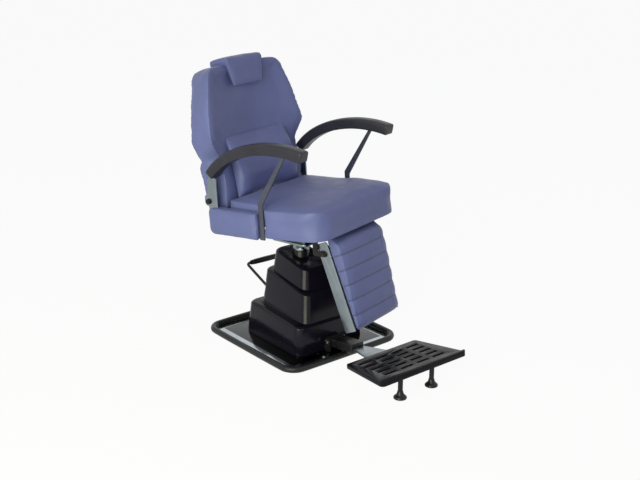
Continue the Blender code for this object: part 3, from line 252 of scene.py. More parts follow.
def copy_of(nodes: Sequence[str], name: str) -> bpy.types.Object:
    """A new object with the meshes of some fixed nodes, their loose triangles merged.

    Args:
        nodes: The fixed nodes.
        name: The new piece's name.

    Returns:
        The new object, at the origin.
    """
    copies = [bpy.data.objects.new(name, frame["nodes"][node].data.copy()) for node in nodes]
    for copied in copies:
        bpy.context.scene.collection.objects.link(copied)
    piece = copies[0]
    activate(piece)
    if len(copies) > 1:
        for copied in copies:
            copied.select_set(True)
        bpy.ops.object.join()
    piece.name = name
    piece.data.materials.clear()
    with editing(piece):
        bpy.ops.mesh.customdata_custom_splitnormals_clear()
        bpy.ops.mesh.remove_doubles(threshold=MERGE)
    return piece


def dress(piece: bpy.types.Object, body: str, material: bpy.types.Material, slot: Slot) -> None:
    """Gives a finished piece its material and its body, and logs its slot."""
    piece.data.materials.clear()
    piece.data.materials.append(material)
    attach(piece, body)
    LOG.info("%s rides on %s in %s", piece.name, body, slot.value)


class Graph:
    """The node tree of one material, round its Principled shader."""

    def __init__(self, name: str) -> None:
        """Starts an empty tree.

        Args:
            name: The material's name.
        """
        self.material = bpy.data.materials.new(name)
        self.material.use_nodes = True
        self.tree = self.material.node_tree
        self.tree.nodes.clear()
        self.shader = self.add("ShaderNodeBsdfPrincipled")
        output = self.add("ShaderNodeOutputMaterial")
        self.tree.links.new(self.shader.outputs["BSDF"], output.inputs["Surface"])
        self.place = self.add("ShaderNodeTexCoord").outputs["Object"]

    def add(self, kind: str, **settings: object) -> bpy.types.Node:
        """A new node with these attributes."""
        node = self.tree.nodes.new(kind)
        for key, value in settings.items():
            setattr(node, key, value)
        return node

    def feed(self, node: bpy.types.Node, **inputs: object) -> bpy.types.Node:
        """Sets a node's inputs, each a constant or another node's output.

        Args:
            node: The node.
            inputs: Values by input name, with _ for a space.

        Returns:
            The same node.
        """
        for key, value in inputs.items():
            self.put(node.inputs[key.replace("_", " ")], value)
        return node

    def put(self, socket: bpy.types.NodeSocket, value: object) -> None:
        """Gives an input a constant, or links another node's output to it."""
        if isinstance(value, bpy.types.NodeSocket):
            self.tree.links.new(value, socket)
        else:
            socket.default_value = value

    def stretched(self, scale: Sequence[float]) -> bpy.types.NodeSocket:
        """Object coordinates scaled along each axis."""
        node = self.add("ShaderNodeMapping", vector_type="POINT")
        self.feed(node, Vector=self.place, Scale=scale)
        return node.outputs["Vector"]

    def noise(
        self, scale: float, detail: float = 3.0, where: bpy.types.NodeSocket | None = None
    ) -> bpy.types.NodeSocket:
        """Noise between 0 and 1, with scale in cells a metre."""
        node = self.add("ShaderNodeTexNoise")
        self.feed(node, Vector=where or self.place, Scale=scale, Detail=detail)
        return node.outputs["Fac"]

    def pebbles(self, scale: float) -> bpy.types.NodeSocket:
        """Rounded cells as on grained vinyl, low in the creases."""
        node = self.add("ShaderNodeTexVoronoi", feature="SMOOTH_F1")
        self.feed(node, Vector=self.place, Scale=scale, Smoothness=0.4)
        return node.outputs["Distance"]

    def attribute(self, name: str) -> bpy.types.NodeSocket:
        """A value kept on the mesh's points."""
        return self.add("ShaderNodeAttribute", attribute_name=name).outputs["Fac"]

    def span(
        self, value: bpy.types.NodeSocket, low: float, high: float, start: float = 0.3, end: float = 0.7
    ) -> bpy.types.NodeSocket:
        """Maps start..end of a value to low..high, held at its ends."""
        node = self.feed(
            self.add("ShaderNodeMapRange"),
            Value=value,
            From_Min=start,
            From_Max=end,
            To_Min=low,
            To_Max=high,
        )
        return node.outputs["Result"]

    def arithmetic(self, operation: str, first: object, second: object = 0.0) -> bpy.types.NodeSocket:
        """The result of one operation on two values, each a constant or another node's output."""
        node = self.add("ShaderNodeMath", operation=operation)
        for socket, value in zip(node.inputs, (first, second)):
            self.put(socket, value)
        return node.outputs["Value"]

    def blend(self, share: bpy.types.NodeSocket, first: object, second: object) -> bpy.types.NodeSocket:
        """A colour from first to second as share goes from 0 to 1."""
        node = self.add("ShaderNodeMix", data_type="RGBA")
        self.put(node.inputs[0], share)
        for socket, value in ((node.inputs[6], first), (node.inputs[7], second)):
            self.put(socket, (*value, 1.0) if isinstance(value, tuple) else value)
        return node.outputs[2]

    def bump(
        self, height: bpy.types.NodeSocket, depth: float, under: bpy.types.NodeSocket | None = None
    ) -> bpy.types.NodeSocket:
        """A normal from a height, with its depth in metres, over another normal."""
        node = self.feed(self.add("ShaderNodeBump"), Height=height, Strength=1.0, Distance=depth)
        if under is not None:
            self.tree.links.new(under, node.inputs["Normal"])
        return node.outputs["Normal"]


def shaded(colour: Colour, factor: float) -> Colour:
    """A colour made lighter or darker."""
    return tuple(min(1.0, channel * factor) for channel in colour)


@dataclass(frozen=True)
class Vinyl:
    """Soft grained upholstery vinyl, with painted shade in its sewn creases."""

    name: str = "vinyl_upholstery"
    colour: Colour = (0.110, 0.130, 0.330)
    # The painted shade colour put into the sewn creases.
    crease: Colour = (0.018, 0.016, 0.052)
    grain: float = 620.0
    grain_depth: float = 0.00016

    def material(self) -> bpy.types.Material:
        """The vinyl's material."""
        graph = Graph(self.name)
        wide = graph.noise(7.0, 2.0)
        tone = graph.blend(graph.span(wide, 0.0, 1.0), shaded(self.colour, 0.93), shaded(self.colour, 1.06))
        speck = graph.noise(1400.0, 2.0)
        tone = graph.blend(graph.span(speck, 0.0, 0.12), tone, shaded(self.colour, 0.6))
        # Painted shade: the colour is darkened towards the seam shade colour where the mesh marks a seam crease.
        tone = graph.blend(graph.span(graph.attribute("crease"), 0.0, 0.6, 0.05, 1.0), tone, self.crease)
        pebbles = graph.bump(graph.pebbles(self.grain), self.grain_depth)
        normal = graph.bump(graph.noise(60.0, 3.0), 0.00035, pebbles)
        rough = graph.span(graph.noise(25.0, 4.0), 0.42, 0.54)
        graph.feed(graph.shader, Base_Color=tone, Roughness=rough, Normal=normal)
        graph.feed(graph.shader, Sheen_Weight=0.06, Sheen_Roughness=0.45, Specular_IOR_Level=0.45)
        return graph.material


@dataclass(frozen=True)
class Moulded:
    """Moulded plastic, rubber or coated casting with a fine skin and scuffs."""

    name: str
    colour: Colour
    scuff: Colour
    scuffed: float
    smooth: float
    rough: float
    skin: float = 500.0
    skin_depth: float = 0.0001
    specular: float = 0.3

    def material(self) -> bpy.types.Material:
        """The moulding's material."""
        graph = Graph(self.name)
        wide = graph.noise(9.0, 3.0)
        tone = graph.blend(graph.span(wide, 0.0, 1.0), shaded(self.colour, 0.86), shaded(self.colour, 1.14))
        worn = graph.span(graph.noise(42.0, 6.0), 0.0, self.scuffed, 0.58, 0.76)
        tone = graph.blend(worn, tone, self.scuff)
        normal = graph.bump(graph.noise(self.skin, 2.0), self.skin_depth)
        rough = graph.span(graph.noise(30.0, 5.0), self.smooth, self.rough)
        graph.feed(graph.shader, Base_Color=tone, Roughness=rough, Normal=normal)
        graph.feed(graph.shader, Specular_IOR_Level=self.specular)
        return graph.material


@dataclass(frozen=True)
class Metal:
    """Bright metal with fine drawn lines and a faint cloud of wear."""

    name: str
    colour: Colour
    dull: Colour
    smooth: float
    rough: float
    lines: Colour = (900.0, 900.0, 14.0)
    line_depth: float = 0.00002
    metallic: float = 1.0

    def material(self) -> bpy.types.Material:
        """The metal's material."""
        graph = Graph(self.name)
        cloud = graph.noise(14.0, 4.0)
        tone = graph.blend(graph.span(cloud, 0.0, 1.0), self.colour, self.dull)
        drawn = graph.noise(1.0, 2.0, graph.stretched(self.lines))
        rough = graph.span(graph.noise(40.0, 4.0), self.smooth, self.rough)
        normal = graph.bump(drawn, self.line_depth)
        graph.feed(graph.shader, Base_Color=tone, Roughness=rough, Normal=normal, Metallic=self.metallic)
        return graph.material


@dataclass(frozen=True)
class Tray:
    """The floor plate: metal that is near-black in its middle, inside a border of light polished steel."""

    name: str = "floor_plate"
    border: Colour = (0.46, 0.51, 0.53)
    lacquer: Colour = (0.052, 0.055, 0.058)
    half: tuple[float, float] = (0.2565, 0.2675)
    border_wide: float = 0.037
    edge: float = 0.0008

    def material(self) -> bpy.types.Material:
        """The plate's material."""
        graph = Graph(self.name)
        split = graph.feed(graph.add("ShaderNodeSeparateXYZ"), Vector=graph.place)
        sides = [
            graph.arithmetic("SUBTRACT", half, graph.arithmetic("ABSOLUTE", split.outputs[axis]))
            for axis, half in zip(("X", "Y"), self.half)
        ]
        inside = graph.arithmetic("MINIMUM", *sides)
        # The plate is near-black inside the border band and light polished steel across the band.
        dark_middle_share = graph.span(inside, 0.0, 1.0, self.border_wide - self.edge, self.border_wide + self.edge)
        cloud = graph.span(graph.noise(18.0, 5.0), 0.0, 1.0)
        border_tone = graph.blend(cloud, self.border, shaded(self.border, 0.82))
        dark_middle_tone = graph.blend(cloud, self.lacquer, shaded(self.lacquer, 0.7))
        scratch = graph.noise(1.0, 2.0, graph.stretched((20.0, 700.0, 700.0)))
        rough = graph.span(graph.noise(40.0, 4.0), 0.08, 0.18)
        graph.feed(graph.shader, Base_Color=graph.blend(dark_middle_share, border_tone, dark_middle_tone), Roughness=rough)
        graph.feed(graph.shader, Normal=graph.bump(scratch, 0.000004), Metallic=1.0)
        return graph.material


@dataclass(frozen=True)
class Plywood:
    """Black-stained ply seen only at board edges and from below."""

    name: str = "stained_ply"
    pale: Colour = (0.036, 0.033, 0.031)
    dark: Colour = (0.020, 0.018, 0.017)

    def material(self) -> bpy.types.Material:
        """The ply's material."""
        graph = Graph(self.name)
        veneer = graph.noise(1.0, 4.0, graph.stretched((14.0, 120.0, 120.0)))
        tone = graph.blend(graph.span(veneer, 0.0, 1.0), self.pale, self.dark)
        graph.feed(graph.shader, Base_Color=tone, Roughness=graph.span(veneer, 0.6, 0.8))
        graph.feed(graph.shader, Normal=graph.bump(veneer, 0.0002))
        return graph.material


FINISHES = {
    Slot.VINYL: Vinyl(),
    Slot.ARM: Moulded(
        "arm_skin", (0.017, 0.017, 0.028), (0.040, 0.041, 0.052), 0.30, 0.34, 0.46,
        skin=900.0, skin_depth=0.00012, specular=0.35,
    ),
    Slot.COVER: Moulded(
        "gloss_cover", (0.006, 0.005, 0.011), (0.014, 0.012, 0.020), 0.30, 0.12, 0.22,
        skin=160.0, skin_depth=0.00006, specular=0.18,
    ),
    Slot.PAINT: Moulded(
        "black_paint", (0.008, 0.008, 0.010), (0.030, 0.030, 0.034), 0.30, 0.22, 0.36,
        skin=300.0, skin_depth=0.00006, specular=0.25,
    ),
    Slot.CASTING: Moulded(
        "black_casting", (0.007, 0.007, 0.010), (0.024, 0.024, 0.030), 0.40, 0.20, 0.34,
        skin=260.0, skin_depth=0.0001, specular=0.08,
    ),
    Slot.STEEL: Metal("satin_steel", (0.25, 0.29, 0.31), (0.20, 0.235, 0.255), 0.24, 0.36),
    Slot.DARK_STEEL: Metal(
        "dark_steel", (0.072, 0.078, 0.112), (0.056, 0.061, 0.090), 0.22, 0.34, metallic=0.4
    ),
    Slot.PLATE: Tray(),
    Slot.CHROME: Metal(
        "chrome", (0.78, 0.80, 0.82), (0.70, 0.72, 0.74), 0.04, 0.12,
        lines=(300.0, 300.0, 300.0), line_depth=0.000004,
    ),
    Slot.BRONZE: Metal("bronze", (0.52, 0.36, 0.18), (0.40, 0.27, 0.13), 0.25, 0.45),
    Slot.RUBBER: Moulded(
        "black_rubber", (0.009, 0.010, 0.011), (0.028, 0.030, 0.032), 0.30, 0.26, 0.42,
        skin=420.0, skin_depth=0.0001, specular=0.28,
    ),
    Slot.PLY: Plywood(),
}
MATERIALS: dict[Slot, bpy.types.Material] = {}
NODE_SLOTS = {part["node"]: Slot(part["material_slot"]) for part in frame["record"]["subparts"]}


def ripple(local: np.ndarray, size: float, height: float, phase: float) -> np.ndarray:
    """Slow uneven swelling, as foam shows under a cover.

    Args:
        local: Points in the pad's own frame.
        size: Metres from swell to swell.
        height: Metres of the swell.
        phase: Shifts the pattern from pad to pad.

    Returns:
        A height for each point.
    """
    turns = 2 * math.pi / size * local
    waves = np.sin(turns[:, 0] + phase) * np.sin(0.83 * turns[:, 1] + 1.7 * phase + 0.6 * turns[:, 2])
    return height * (waves + 0.6 * np.sin(0.71 * turns[:, 2] + 0.47 * turns[:, 0] + 2.3 * phase))


def near(distance: np.ndarray, width: float) -> np.ndarray:
    """1 on a line, falling to 0 over a width."""
    return np.exp(-((distance / width) ** 2))


@dataclass
class Pad:
    """A stuffed pad: fixed solids remeshed as one cover, faired, swollen and sewn."""

    name: str
    nodes: Sequence[str]
    body: str
    axes: Axes
    face: Point = (0.0, -1.0, 0.0)
    voxel: float = 0.0055
    cap: float = 0.003
    tuck: float = 0.001
    fill: float = 0.7
    pressure: float = 4.0
    smoothing: int = 2
    fairing: int = 120
    side_fairing: int = 12
    side_square: Span = (0.15, 0.45)
    face_square: Span = (0.75, 0.95)
    travel_evening: int = 8
    swell: float = 0.0003
    swell_size: float = 0.085
    phase: float = 0.0

    def held(self, local: np.ndarray, facing: np.ndarray) -> np.ndarray:
        """How firmly the frame or a seam holds each point, from 0 to 1."""
        return np.zeros(len(local))

    def sewn(self, local: np.ndarray, facing: np.ndarray) -> tuple[np.ndarray, np.ndarray]:
        """How far each point is drawn in, in metres, and how much painted shade it takes in a seam crease, from 0
        to 1.
        """
        return np.zeros(len(local)), np.zeros(len(local))

    def shaped(self, local: np.ndarray, facing: np.ndarray) -> np.ndarray:
        """The pad's points in its own frame, moved to the form that its stuffing gives."""
        return local

    def turned(self, mesh: bpy.types.Mesh) -> np.ndarray:
        """A mesh's normals in the pad's own frame."""
        return normals(mesh) @ np.array(self.axes.turn)

    def build(self) -> bpy.types.Object:
        """Makes the pad in the place of its fixed solids.

        Returns:
            The finished pad.
        """
        piece = copy_of(self.nodes, self.name)
        piece.data.remesh_voxel_size = self.voxel
        activate(piece)
        bpy.ops.object.voxel_remesh()
        self.fair(piece.data)
        shaped = self.shaped(self.axes.local(coordinates(piece.data)), self.turned(piece.data))
        move_points(piece.data, self.axes.world(shaped))
        self.stuff(piece)
        apply_modifier(piece, "SUBSURF", levels=1, render_levels=1)
        self.sew(piece)
        activate(piece)
        bpy.ops.object.shade_smooth()
        dress(piece, self.body, MATERIALS[Slot.VINYL], Slot.VINYL)
        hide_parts(*self.nodes)
        return piece

    def fair(self, mesh: bpy.types.Mesh) -> None:
        """Melts the solid's flat facets into one curved face, and its sides a little less."""
        edges = edge_ends(mesh)
        move_points(mesh, relaxed(coordinates(mesh), edges, self.smoothing))
        square = np.abs(self.turned(mesh) @ np.array(self.face))
        points = relaxed(coordinates(mesh), edges, self.side_fairing, 1.0 - ramp(square, *self.side_square))
        move_points(mesh, relaxed(points, edges, self.fairing, ramp(square, *self.face_square)))

    def stuff(self, piece: bpy.types.Object) -> None:
        """Swells the cover from a slightly smaller shape, with a cap on each point's travel."""
        mesh = piece.data
        facing = normals(mesh)
        start = coordinates(mesh)
        firm = np.clip(self.held(self.axes.local(start), self.turned(mesh)), 0.0, 1.0)
        tucked = start - facing * (self.tuck * (1.0 - firm))[:, None]
        move_points(mesh, tucked)
        group = piece.vertex_groups.new(name="held")
        for index in np.nonzero(firm > LEAST_HOLD)[0]:
            group.add([int(index)], float(firm[index]), "REPLACE")
        cloth = piece.modifiers.new("stuffing", "CLOTH")
        settings = cloth.settings
        for key, value in CLOTH_SETTINGS.items():
            setattr(settings, key, value)
        settings.uniform_pressure_force = self.pressure
        settings.vertex_group_mass = group.name
        settings.effector_weights.gravity = 0.0
        cloth.collision_settings.use_collision = False
        cloth.point_cache.frame_start = 1
        cloth.point_cache.frame_end = SIM_FRAMES
        for step in range(1, SIM_FRAMES + 1):
            bpy.context.scene.frame_set(step)
        graph = bpy.context.evaluated_depsgraph_get()
        swollen = coordinates(piece.evaluated_get(graph).data)
        piece.modifiers.remove(cloth)
        piece.vertex_groups.remove(group)
        bpy.context.scene.frame_set(1)
        travel = swollen - tucked
        length = np.linalg.norm(travel, axis=1, keepdims=True)
        travel *= np.minimum(1.0, self.cap / np.maximum(length, 1e-9))
        move_points(mesh, tucked + relaxed(travel, edge_ends(mesh), self.travel_evening))

    def sew(self, piece: bpy.types.Object) -> None:
        """Draws the seams in, lets the foam show through and marks the creases for painted shade."""
        mesh = piece.data
        points = coordinates(mesh)
        local = self.axes.local(points)
        turned = self.turned(mesh)
        drawn, crease = self.sewn(local, turned)
        firm = np.clip(self.held(local, turned), 0.0, 1.0)
        uneven = ripple(local, self.swell_size, self.swell, self.phase) * (1.0 - firm)
        move_points(mesh, points + normals(mesh) * (uneven - drawn)[:, None])
        # Painted shade: a point attribute that darkens the vinyl's colour in the seam creases.
        seam_shade_marks = mesh.attributes.new("crease", "FLOAT", "POINT")
        seam_shade_marks.data.foreach_set("value", np.clip(crease, 0.0, 1.0).astype(np.float32))


@dataclass
class SeatPad(Pad):
    """The T-shaped seat cushion."""

    skirt: float = 0.012
    front: float = -0.285
    half: float = 0.2858
    top: float = 0.10
    roll: float = 0.050
    roll_drop: float = 0.009
    shoulder: float = -0.0475
    shoulder_out: float = 0.007
    roll_depth: float = 0.05
    wing_across: Span = (0.252, 0.262)
    press_rise: Span = (-0.02, -0.004)
    press_fall: Span = (0.002, 0.012)

    def shaped(self, local: np.ndarray, facing: np.ndarray) -> np.ndarray:
        """The top rolls down to its front and wings, and the wings press back on the arm struts."""
        x, y, z = local.T
        inside = np.minimum(y - self.front, self.half - np.abs(x))
        upper = ramp(z, self.top - self.roll_depth, self.top)
        fall = self.roll_drop * np.clip(1.0 - inside / self.roll, 0.0, 1.0) ** 2 * upper
        past = y - self.shoulder
        wing = ramp(np.abs(x), *self.wing_across) * ramp(past, *self.press_rise)
        wing *= 1.0 - ramp(past, *self.press_fall)
        return np.column_stack((x, y + self.shoulder_out * wing, z - fall))

    def held(self, local: np.ndarray, facing: np.ndarray) -> np.ndarray:
        """The cover is stapled under the board."""
        return (local[:, 2] < self.skirt).astype(float)


@dataclass
class BackPad(Pad):
    """The back's cushion: a raised rim at its top corners and full flanks down to its foot."""

    rim_out: float = 0.015
    rim_proud: float = 0.012
    rim_low: float = 0.20
    rim_high: float = 0.40
    shoulder: float = 0.215
    waist_half: float = 0.2232
    flank_out: float = 0.022
    flank_front: float = 0.4
    foot: float = -0.045
    rear_out: float = 0.007
    foot_drop: float = 0.012
    foot_band: float = 0.05
    levels: int = 60
    least_half: float = 0.05
    rim_across: Span = (0.72, 0.97)
    rim_spread: Span = (0.5, 0.9)
    rim_top: Span = (-0.05, -0.012)
    rim_ahead: Span = (-0.01, 0.055)
    shoulder_band: float = 0.065
    flank_depth: Span = (-0.05, 0.01)
    rear_depth: Span = (0.0, 0.03)

    def shaped(self, local: np.ndarray, facing: np.ndarray) -> np.ndarray:
        """Draws the upper rim out and forward, swells the waist and lowers the foot."""
        x, y, z = local.T
        rows = np.linspace(z.min(), z.max(), self.levels)
        near_row = np.clip(np.searchsorted(rows, z), 0, len(rows) - 1)
        widest = np.zeros(len(rows))
        np.maximum.at(widest, near_row, np.abs(x))
        half = np.interp(z, rows, widest)
        across = np.abs(x) / np.maximum(half, self.least_half)
        edge = np.maximum(ramp(across, *self.rim_across), ramp(z - z.max(), *self.rim_top))
        ahead = ramp(-y, *self.rim_ahead)
        high = ramp(z, self.rim_low, self.rim_high)
        lift = edge * ahead * high
        low = 1.0 - ramp(z, self.shoulder - self.shoulder_band, self.shoulder)
        depth = self.flank_front + (1.0 - self.flank_front) * ramp(y, *self.flank_depth)
        spread = self.flank_out * low * depth * ramp(np.abs(x), self.waist_half / 2, self.waist_half)
        above_foot = ramp(z, self.foot, self.foot + self.foot_band)
        behind = ramp(y, *self.rear_depth) * low * above_foot
        x = x + np.sign(x) * (self.rim_out * lift * ramp(across, *self.rim_spread) + spread)
        y = y - self.rim_proud * lift + self.rear_out * behind
        z = z - self.foot_drop * (1.0 - above_foot)
        return np.column_stack((x, y, z))


@dataclass
class LumbarPad(Pad):
    """The pillow at the small of the back, stuffed full and resting on the seat."""

    half: float = 0.180
    low: float = 0.002
    high: float = 0.222
    crown: float = 0.010
    foot_drop: float = 0.026
    foot_band: float = 0.05
    end_power: int = 4
    crown_power: float = 0.7
    front_facing: Span = (0.0, 0.6)

    def shaped(self, local: np.ndarray, facing: np.ndarray) -> np.ndarray:
        """Rounds the face, and lets the foot settle down towards the seat."""
        x, y, z = local.T
        along = np.clip(np.abs(x) / self.half, 0.0, 1.0)
        up = np.clip((z - self.low) / (self.high - self.low), 0.0, 1.0)
        arch = np.clip(4.0 * up * (1.0 - up), 0.0, 1.0) ** self.crown_power
        dome = (1.0 - along**self.end_power) * arch
        front = ramp(-facing[:, 1], *self.front_facing)
        settle = self.foot_drop * (1.0 - ramp(z, self.low, self.low + self.foot_band))
        return np.column_stack((x, y - self.crown * dome * front, z - settle))


@dataclass
class HeadPad(Pad):
    """The headrest, draped so that it lies on the top of the back."""

    seat: float = 0.486
    drape: float = 0.008
    under_facing: Span = (0.2, 0.7)
    under_band: Span = (-0.02, -0.004)

    def shaped(self, local: np.ndarray, facing: np.ndarray) -> np.ndarray:
        """Lets the underside of its top sink onto the back."""
        x, y, z = local.T
        under = ramp(-facing[:, 2], *self.under_facing) * ramp(z - self.seat, *self.under_band)
        return np.column_stack((x, y, z - self.drape * under))


@dataclass
class LegPad(Pad):
    """The leg rest's pad, sewn across into channels that pucker along their seams."""

    low: float = -0.305
    high: float = 0.040
    channels: int = 6
    seam_width: float = 0.0036
    seam_depth: float = 0.0011
    pucker: float = 0.0005
    pucker_pitch: float = 0.023
    proud: float = 0.014
    rise: float = 0.018
    top_fade: Span = (0.0, 0.05)
    fill_height: float = 0.24
    front_depth: Span = (0.03, 0.05)
    tip_band: Span = (-0.022, -0.004)
    tip_depth: Span = (-0.058, -0.036)
    stapled_facing: float = 0.6
    side_facing: float = 0.7
    rear_fade: float = 2.5
    beat_stretch: float = 3.7
    beat_shift: float = 2.1
    pucker_off: float = 0.009
    pucker_wide: float = 0.008

    def shaped(self, local: np.ndarray, facing: np.ndarray) -> np.ndarray:
        """Fills the upper channels forward, and brings the top's rear edge up under the seat."""
        x, y, z = local.T
        filled = np.clip((z - self.low) / self.fill_height, 0.0, 1.0)
        full = (1.0 - ramp(z, *self.top_fade)) * filled
        front = ramp(-y, *self.front_depth)
        tip = ramp(z - self.high, *self.tip_band) * ramp(y, *self.tip_depth)
        return np.column_stack((x, y - self.proud * full * front, z + self.rise * tip))

    def seam_distance(self, local: np.ndarray) -> tuple[np.ndarray, np.ndarray]:
        """Metres to the nearest seam, and that seam's number."""
        pitch = (self.high - self.low) / self.channels
        number = np.clip(np.round((local[:, 2] - self.low) / pitch), 1, self.channels - 1)
        return local[:, 2] - (self.low + number * pitch), number

    def held(self, local: np.ndarray, facing: np.ndarray) -> np.ndarray:
        """The seams and the back of the pad stay where they are sewn and stapled."""
        distance, _ = self.seam_distance(local)
        stapled = (facing[:, 1] > self.stapled_facing).astype(float)
        return np.maximum(near(distance, self.seam_width), stapled)

    def sewn(self, local: np.ndarray, facing: np.ndarray) -> tuple[np.ndarray, np.ndarray]:
        """Seams drawn in across the front and the sides, with puckers beside them, and painted shade along each
        seam line.
        """
        distance, number = self.seam_distance(local)
        shown = np.clip(1.0 - self.rear_fade * np.clip(facing[:, 1], 0.0, 1.0), 0.0, 1.0)
        along = np.where(np.abs(facing[:, 0]) > self.side_facing, local[:, 1], local[:, 0])
        turns = 2 * math.pi * along / self.pucker_pitch
        beat = np.sin(turns + self.beat_shift * number) * np.sin(turns / self.beat_stretch + number)
        # The seam line also marks where the vinyl gets painted shade.
        line = near(distance, self.seam_width) * shown
        beside = near(np.abs(distance) - self.pucker_off, self.pucker_wide) * shown
        return line * self.seam_depth + beside * self.pucker * beat, line


@dataclass
class Hardware:
    """Rigid nodes given rounded edges and smooth shading over their own shape."""

    body: str
    nodes: Sequence[str]
    bevel: float = 0.0008
    segments: int = 2
    corner: float = 32.0
    subdivide: int = 0

    def build(self) -> list[bpy.types.Object]:
        """Makes a finished copy for each node.

        Returns:
            The copies.
        """
        return [self.finished(node) for node in self.nodes]

    def finished(self, node: str) -> bpy.types.Object:
        """One node's finished copy."""
        piece = copy_of([node], node + "_finished")
        with editing(piece):
            if self.subdivide:
                bpy.ops.mesh.tris_convert_to_quads(face_threshold=QUAD_ANGLE, shape_threshold=QUAD_ANGLE)
            else:
                bpy.ops.mesh.dissolve_limited(angle_limit=math.radians(FLAT_DEGREES))
        if self.subdivide:
            levels = self.subdivide
            apply_modifier(piece, "SUBSURF", levels=levels, render_levels=levels)
        elif self.bevel:
            apply_modifier(
                piece,
                "BEVEL",
                width=self.bevel,
                segments=self.segments,
                limit_method="ANGLE",
                angle_limit=math.radians(self.corner),
                use_clamp_overlap=False,
            )
        shade(piece, self.corner)
        slot = NODE_SLOTS[node]
        dress(piece, self.body, MATERIALS[slot], slot)
        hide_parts(node)
        return piece


@dataclass
class Studio:
    """A plain white floor, soft lamps and the camera."""

    target: Point = (0.0574, -0.0467, 0.399)
    distance: float = 4.0
    azimuth: float = -39.1
    elevation: float = 18.4
    lens: float = 57.5
    floor_size: float = 160.0
    floor_white: float = 0.86
    shadow_share: float = 0.06
    ambient: float = 0.23
    ambient_tint: Colour = (0.97, 0.96, 1.10)
    lamps: Sequence[tuple[str, Point, float, float, Colour]] = field(
        default_factory=lambda: (
            ("key_lamp", (-3.3, -1.85, 1.7), 2.8, 160.0, (0.98, 1.0, 0.74)),
            ("fill_lamp", (2.2, -3.6, 2.4), 2.0, 8.0, (1.0, 1.0, 1.0)),
            ("top_lamp", (0.4, 0.2, 4.2), 2.2, 6.0, (1.0, 1.0, 1.0)),
        )
    )

    def build(self) -> None:
        """Sets the stage."""
        self.camera()
        self.world()
        self.floor()
        for name, place, size, power, colour in self.lamps:
            self.lamp(name, place, size, power, colour)

    def camera(self) -> None:
        """The camera at the chair's viewing angle."""
        turn, rise = math.radians(self.azimuth), math.radians(self.elevation)
        out = Vector((math.sin(turn) * math.cos(rise), -math.cos(turn) * math.cos(rise), math.sin(rise)))
        camera = bpy.data.objects.new("camera", bpy.data.cameras.new("camera"))
        camera.data.lens = self.lens
        camera.location = Vector(self.target) + out * self.distance
        camera.rotation_euler = (-out).to_track_quat("-Z", "Y").to_euler()
        bpy.context.scene.collection.objects.link(camera)
        bpy.context.scene.camera = camera

    def seen(self, tree: bpy.types.NodeTree) -> bpy.types.NodeSocket:
        """1 for rays that show the background: from the camera, mirrored or let through."""
        path = tree.nodes.new("ShaderNodeLightPath")
        total = path.outputs["Is Camera Ray"]
        for name in ("Is Glossy Ray", "Is Transmission Ray"):
            more = tree.nodes.new("ShaderNodeMath")
            more.operation = "MAXIMUM"
            tree.links.new(total, more.inputs[0])
            tree.links.new(path.outputs[name], more.inputs[1])
            total = more.outputs[0]
        return total

    def world(self) -> None:
        """White where it is seen, an even grey where it lights."""
        world = bpy.data.worlds.new("studio")
        bpy.context.scene.world = world
        world.use_nodes = True
        tree = world.node_tree
        tree.nodes.clear()
        light = tree.nodes.new("ShaderNodeBackground")
        light.inputs["Strength"].default_value = self.ambient
        white = tree.nodes.new("ShaderNodeBackground")
        mix = tree.nodes.new("ShaderNodeMixShader")
        output = tree.nodes.new("ShaderNodeOutputWorld")
        light.inputs["Color"].default_value = (*self.ambient_tint, 1.0)
        white.inputs["Color"].default_value = (1.0, 1.0, 1.0, 1.0)
        tree.links.new(self.seen(tree), mix.inputs["Fac"])
        tree.links.new(light.outputs[0], mix.inputs[1])
        tree.links.new(white.outputs[0], mix.inputs[2])
        tree.links.new(mix.outputs[0], output.inputs["Surface"])

    def floor(self) -> None:
        """A pale floor that keeps a light shadow."""
        deselect()
        bpy.ops.mesh.primitive_plane_add(size=self.floor_size)
        floor = bpy.context.object
        floor.name = "studio_floor"
        material = bpy.data.materials.new("studio_floor")
        material.use_nodes = True
        tree = material.node_tree
        tree.nodes.clear()
        matt = tree.nodes.new("ShaderNodeBsdfDiffuse")
        matt.inputs["Color"].default_value = (*[self.floor_white] * 3, 1.0)
        white = tree.nodes.new("ShaderNodeEmission")
        share = tree.nodes.new("ShaderNodeMath")
        share.operation = "MULTIPLY"
        share.inputs[1].default_value = 1.0 - self.shadow_share
        tree.links.new(self.seen(tree), share.inputs[0])
        mix = tree.nodes.new("ShaderNodeMixShader")
        output = tree.nodes.new("ShaderNodeOutputMaterial")
        tree.links.new(share.outputs[0], mix.inputs["Fac"])
        tree.links.new(matt.outputs[0], mix.inputs[1])
        tree.links.new(white.outputs[0], mix.inputs[2])
        tree.links.new(mix.outputs[0], output.inputs["Surface"])
        floor.data.materials.append(material)

    def lamp(self, name: str, place: Sequence[float], size: float, power: float, colour: Colour) -> None:
        """A square soft lamp aimed at the chair."""
        data = bpy.data.lights.new(name, "AREA")
        data.shape = "SQUARE"
        data.size = size
        data.energy = power
        data.color = colour
        lamp = bpy.data.objects.new(name, data)
        lamp.location = place
        lamp.rotation_euler = (Vector(self.target) - Vector(place)).to_track_quat("-Z", "Y").to_euler()
        bpy.context.scene.collection.objects.link(lamp)


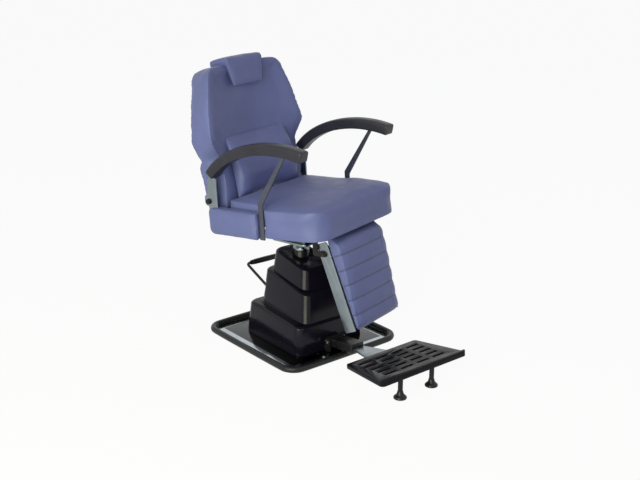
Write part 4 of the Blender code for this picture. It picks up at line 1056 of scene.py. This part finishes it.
@dataclass
class Upholstery:
    """All stuffed pads of the chair."""

    def build(self) -> None:
        """Makes each pad."""
        SeatPad("seat_upholstery", ["seat_cushion"], "seat", SEAT, (0, 0, 1), voxel=0.0065, fill=0.75).build()
        shell = ["backrest_cushion", "back_board", "back_waist_pad"]
        BackPad("back_upholstery", shell, "back", BACK, voxel=0.0058, phase=1.1).build()
        LumbarPad(
            "lumbar_upholstery", ["lumbar_cushion"], "back", BACK,
            voxel=0.0042, smoothing=7, fairing=60, phase=2.0,
        ).build()
        HeadPad(
            "headrest_upholstery", ["headrest_pad"], "headrest", BACK,
            voxel=0.0035, smoothing=6, fairing=30, phase=2.9,
        ).build()
        LegPad(
            "legrest_upholstery", ["legrest_pad"], "legrest", LEG, voxel=0.0042, fairing=14, phase=3.7
        ).build()
        for side in Side:
            Pad(
                f"panel_upholstery_{side.word}", [f"side_panel_{side.word}"], "seat", SEAT,
                (side.value, 0, 0),
                voxel=0.0045, cap=0.002, smoothing=1, side_fairing=2, fairing=30, phase=5.0,
            ).build()


def both(stem: str) -> list[str]:
    """A node's name on both sides."""
    return [f"{stem}_{side.word}" for side in Side]


def hardware() -> list[Hardware]:
    """The rigid pieces by body and by how they are rounded."""
    return [
        Hardware("base", ["base_cover"], bevel=0.0025, segments=3, corner=24.0),
        Hardware("base", ["base_plate"] + both("lever_bracket") + both("footrest_lug")),
        Hardware("base", ["base_rim"], subdivide=2, corner=60.0),
        Hardware("base", ["pump_cylinder", "pump_gland"]),
        Hardware("lever", ["pump_lever", "lever_grip"], subdivide=1, corner=60.0),
        Hardware("ram", ["ram"]),
        Hardware("seat", ["swivel_plate"] + both("mount_gusset") + both("seat_rail") + both("legrest_lug")),
        Hardware("seat", both("arm_strut") + both("arm_post") + both("back_pivot"), bevel=0.0007),
        Hardware("seat", both("arm_pad"), subdivide=1, corner=60.0),
        Hardware("back", both("back_hinge")),
        Hardware("legrest", both("legrest_bar") + ["legrest_tie", "legrest_hinge_rod"]),
        Hardware("footrest", ["footrest_tube", "footrest_tongue", "footplate", "footrest_pin"], bevel=0.001),
        Hardware("footrest", both("foot_peg"), bevel=0.0006, corner=50.0),
    ]


def main() -> None:
    """Builds the chair's looks in order."""
    logging.basicConfig(level=logging.INFO, format="%(message)s")
    for slot, finish in FINISHES.items():
        MATERIALS[slot] = finish.material()
    for node, slot in NODE_SLOTS.items():
        mesh = frame["nodes"][node].data
        mesh.materials.clear()
        mesh.materials.append(MATERIALS[slot])
    Studio().build()
    for group in hardware():
        group.build()
    Upholstery().build()
    bpy.context.scene.view_settings.view_transform = "Standard"


if __name__ == "__main__":
    main()
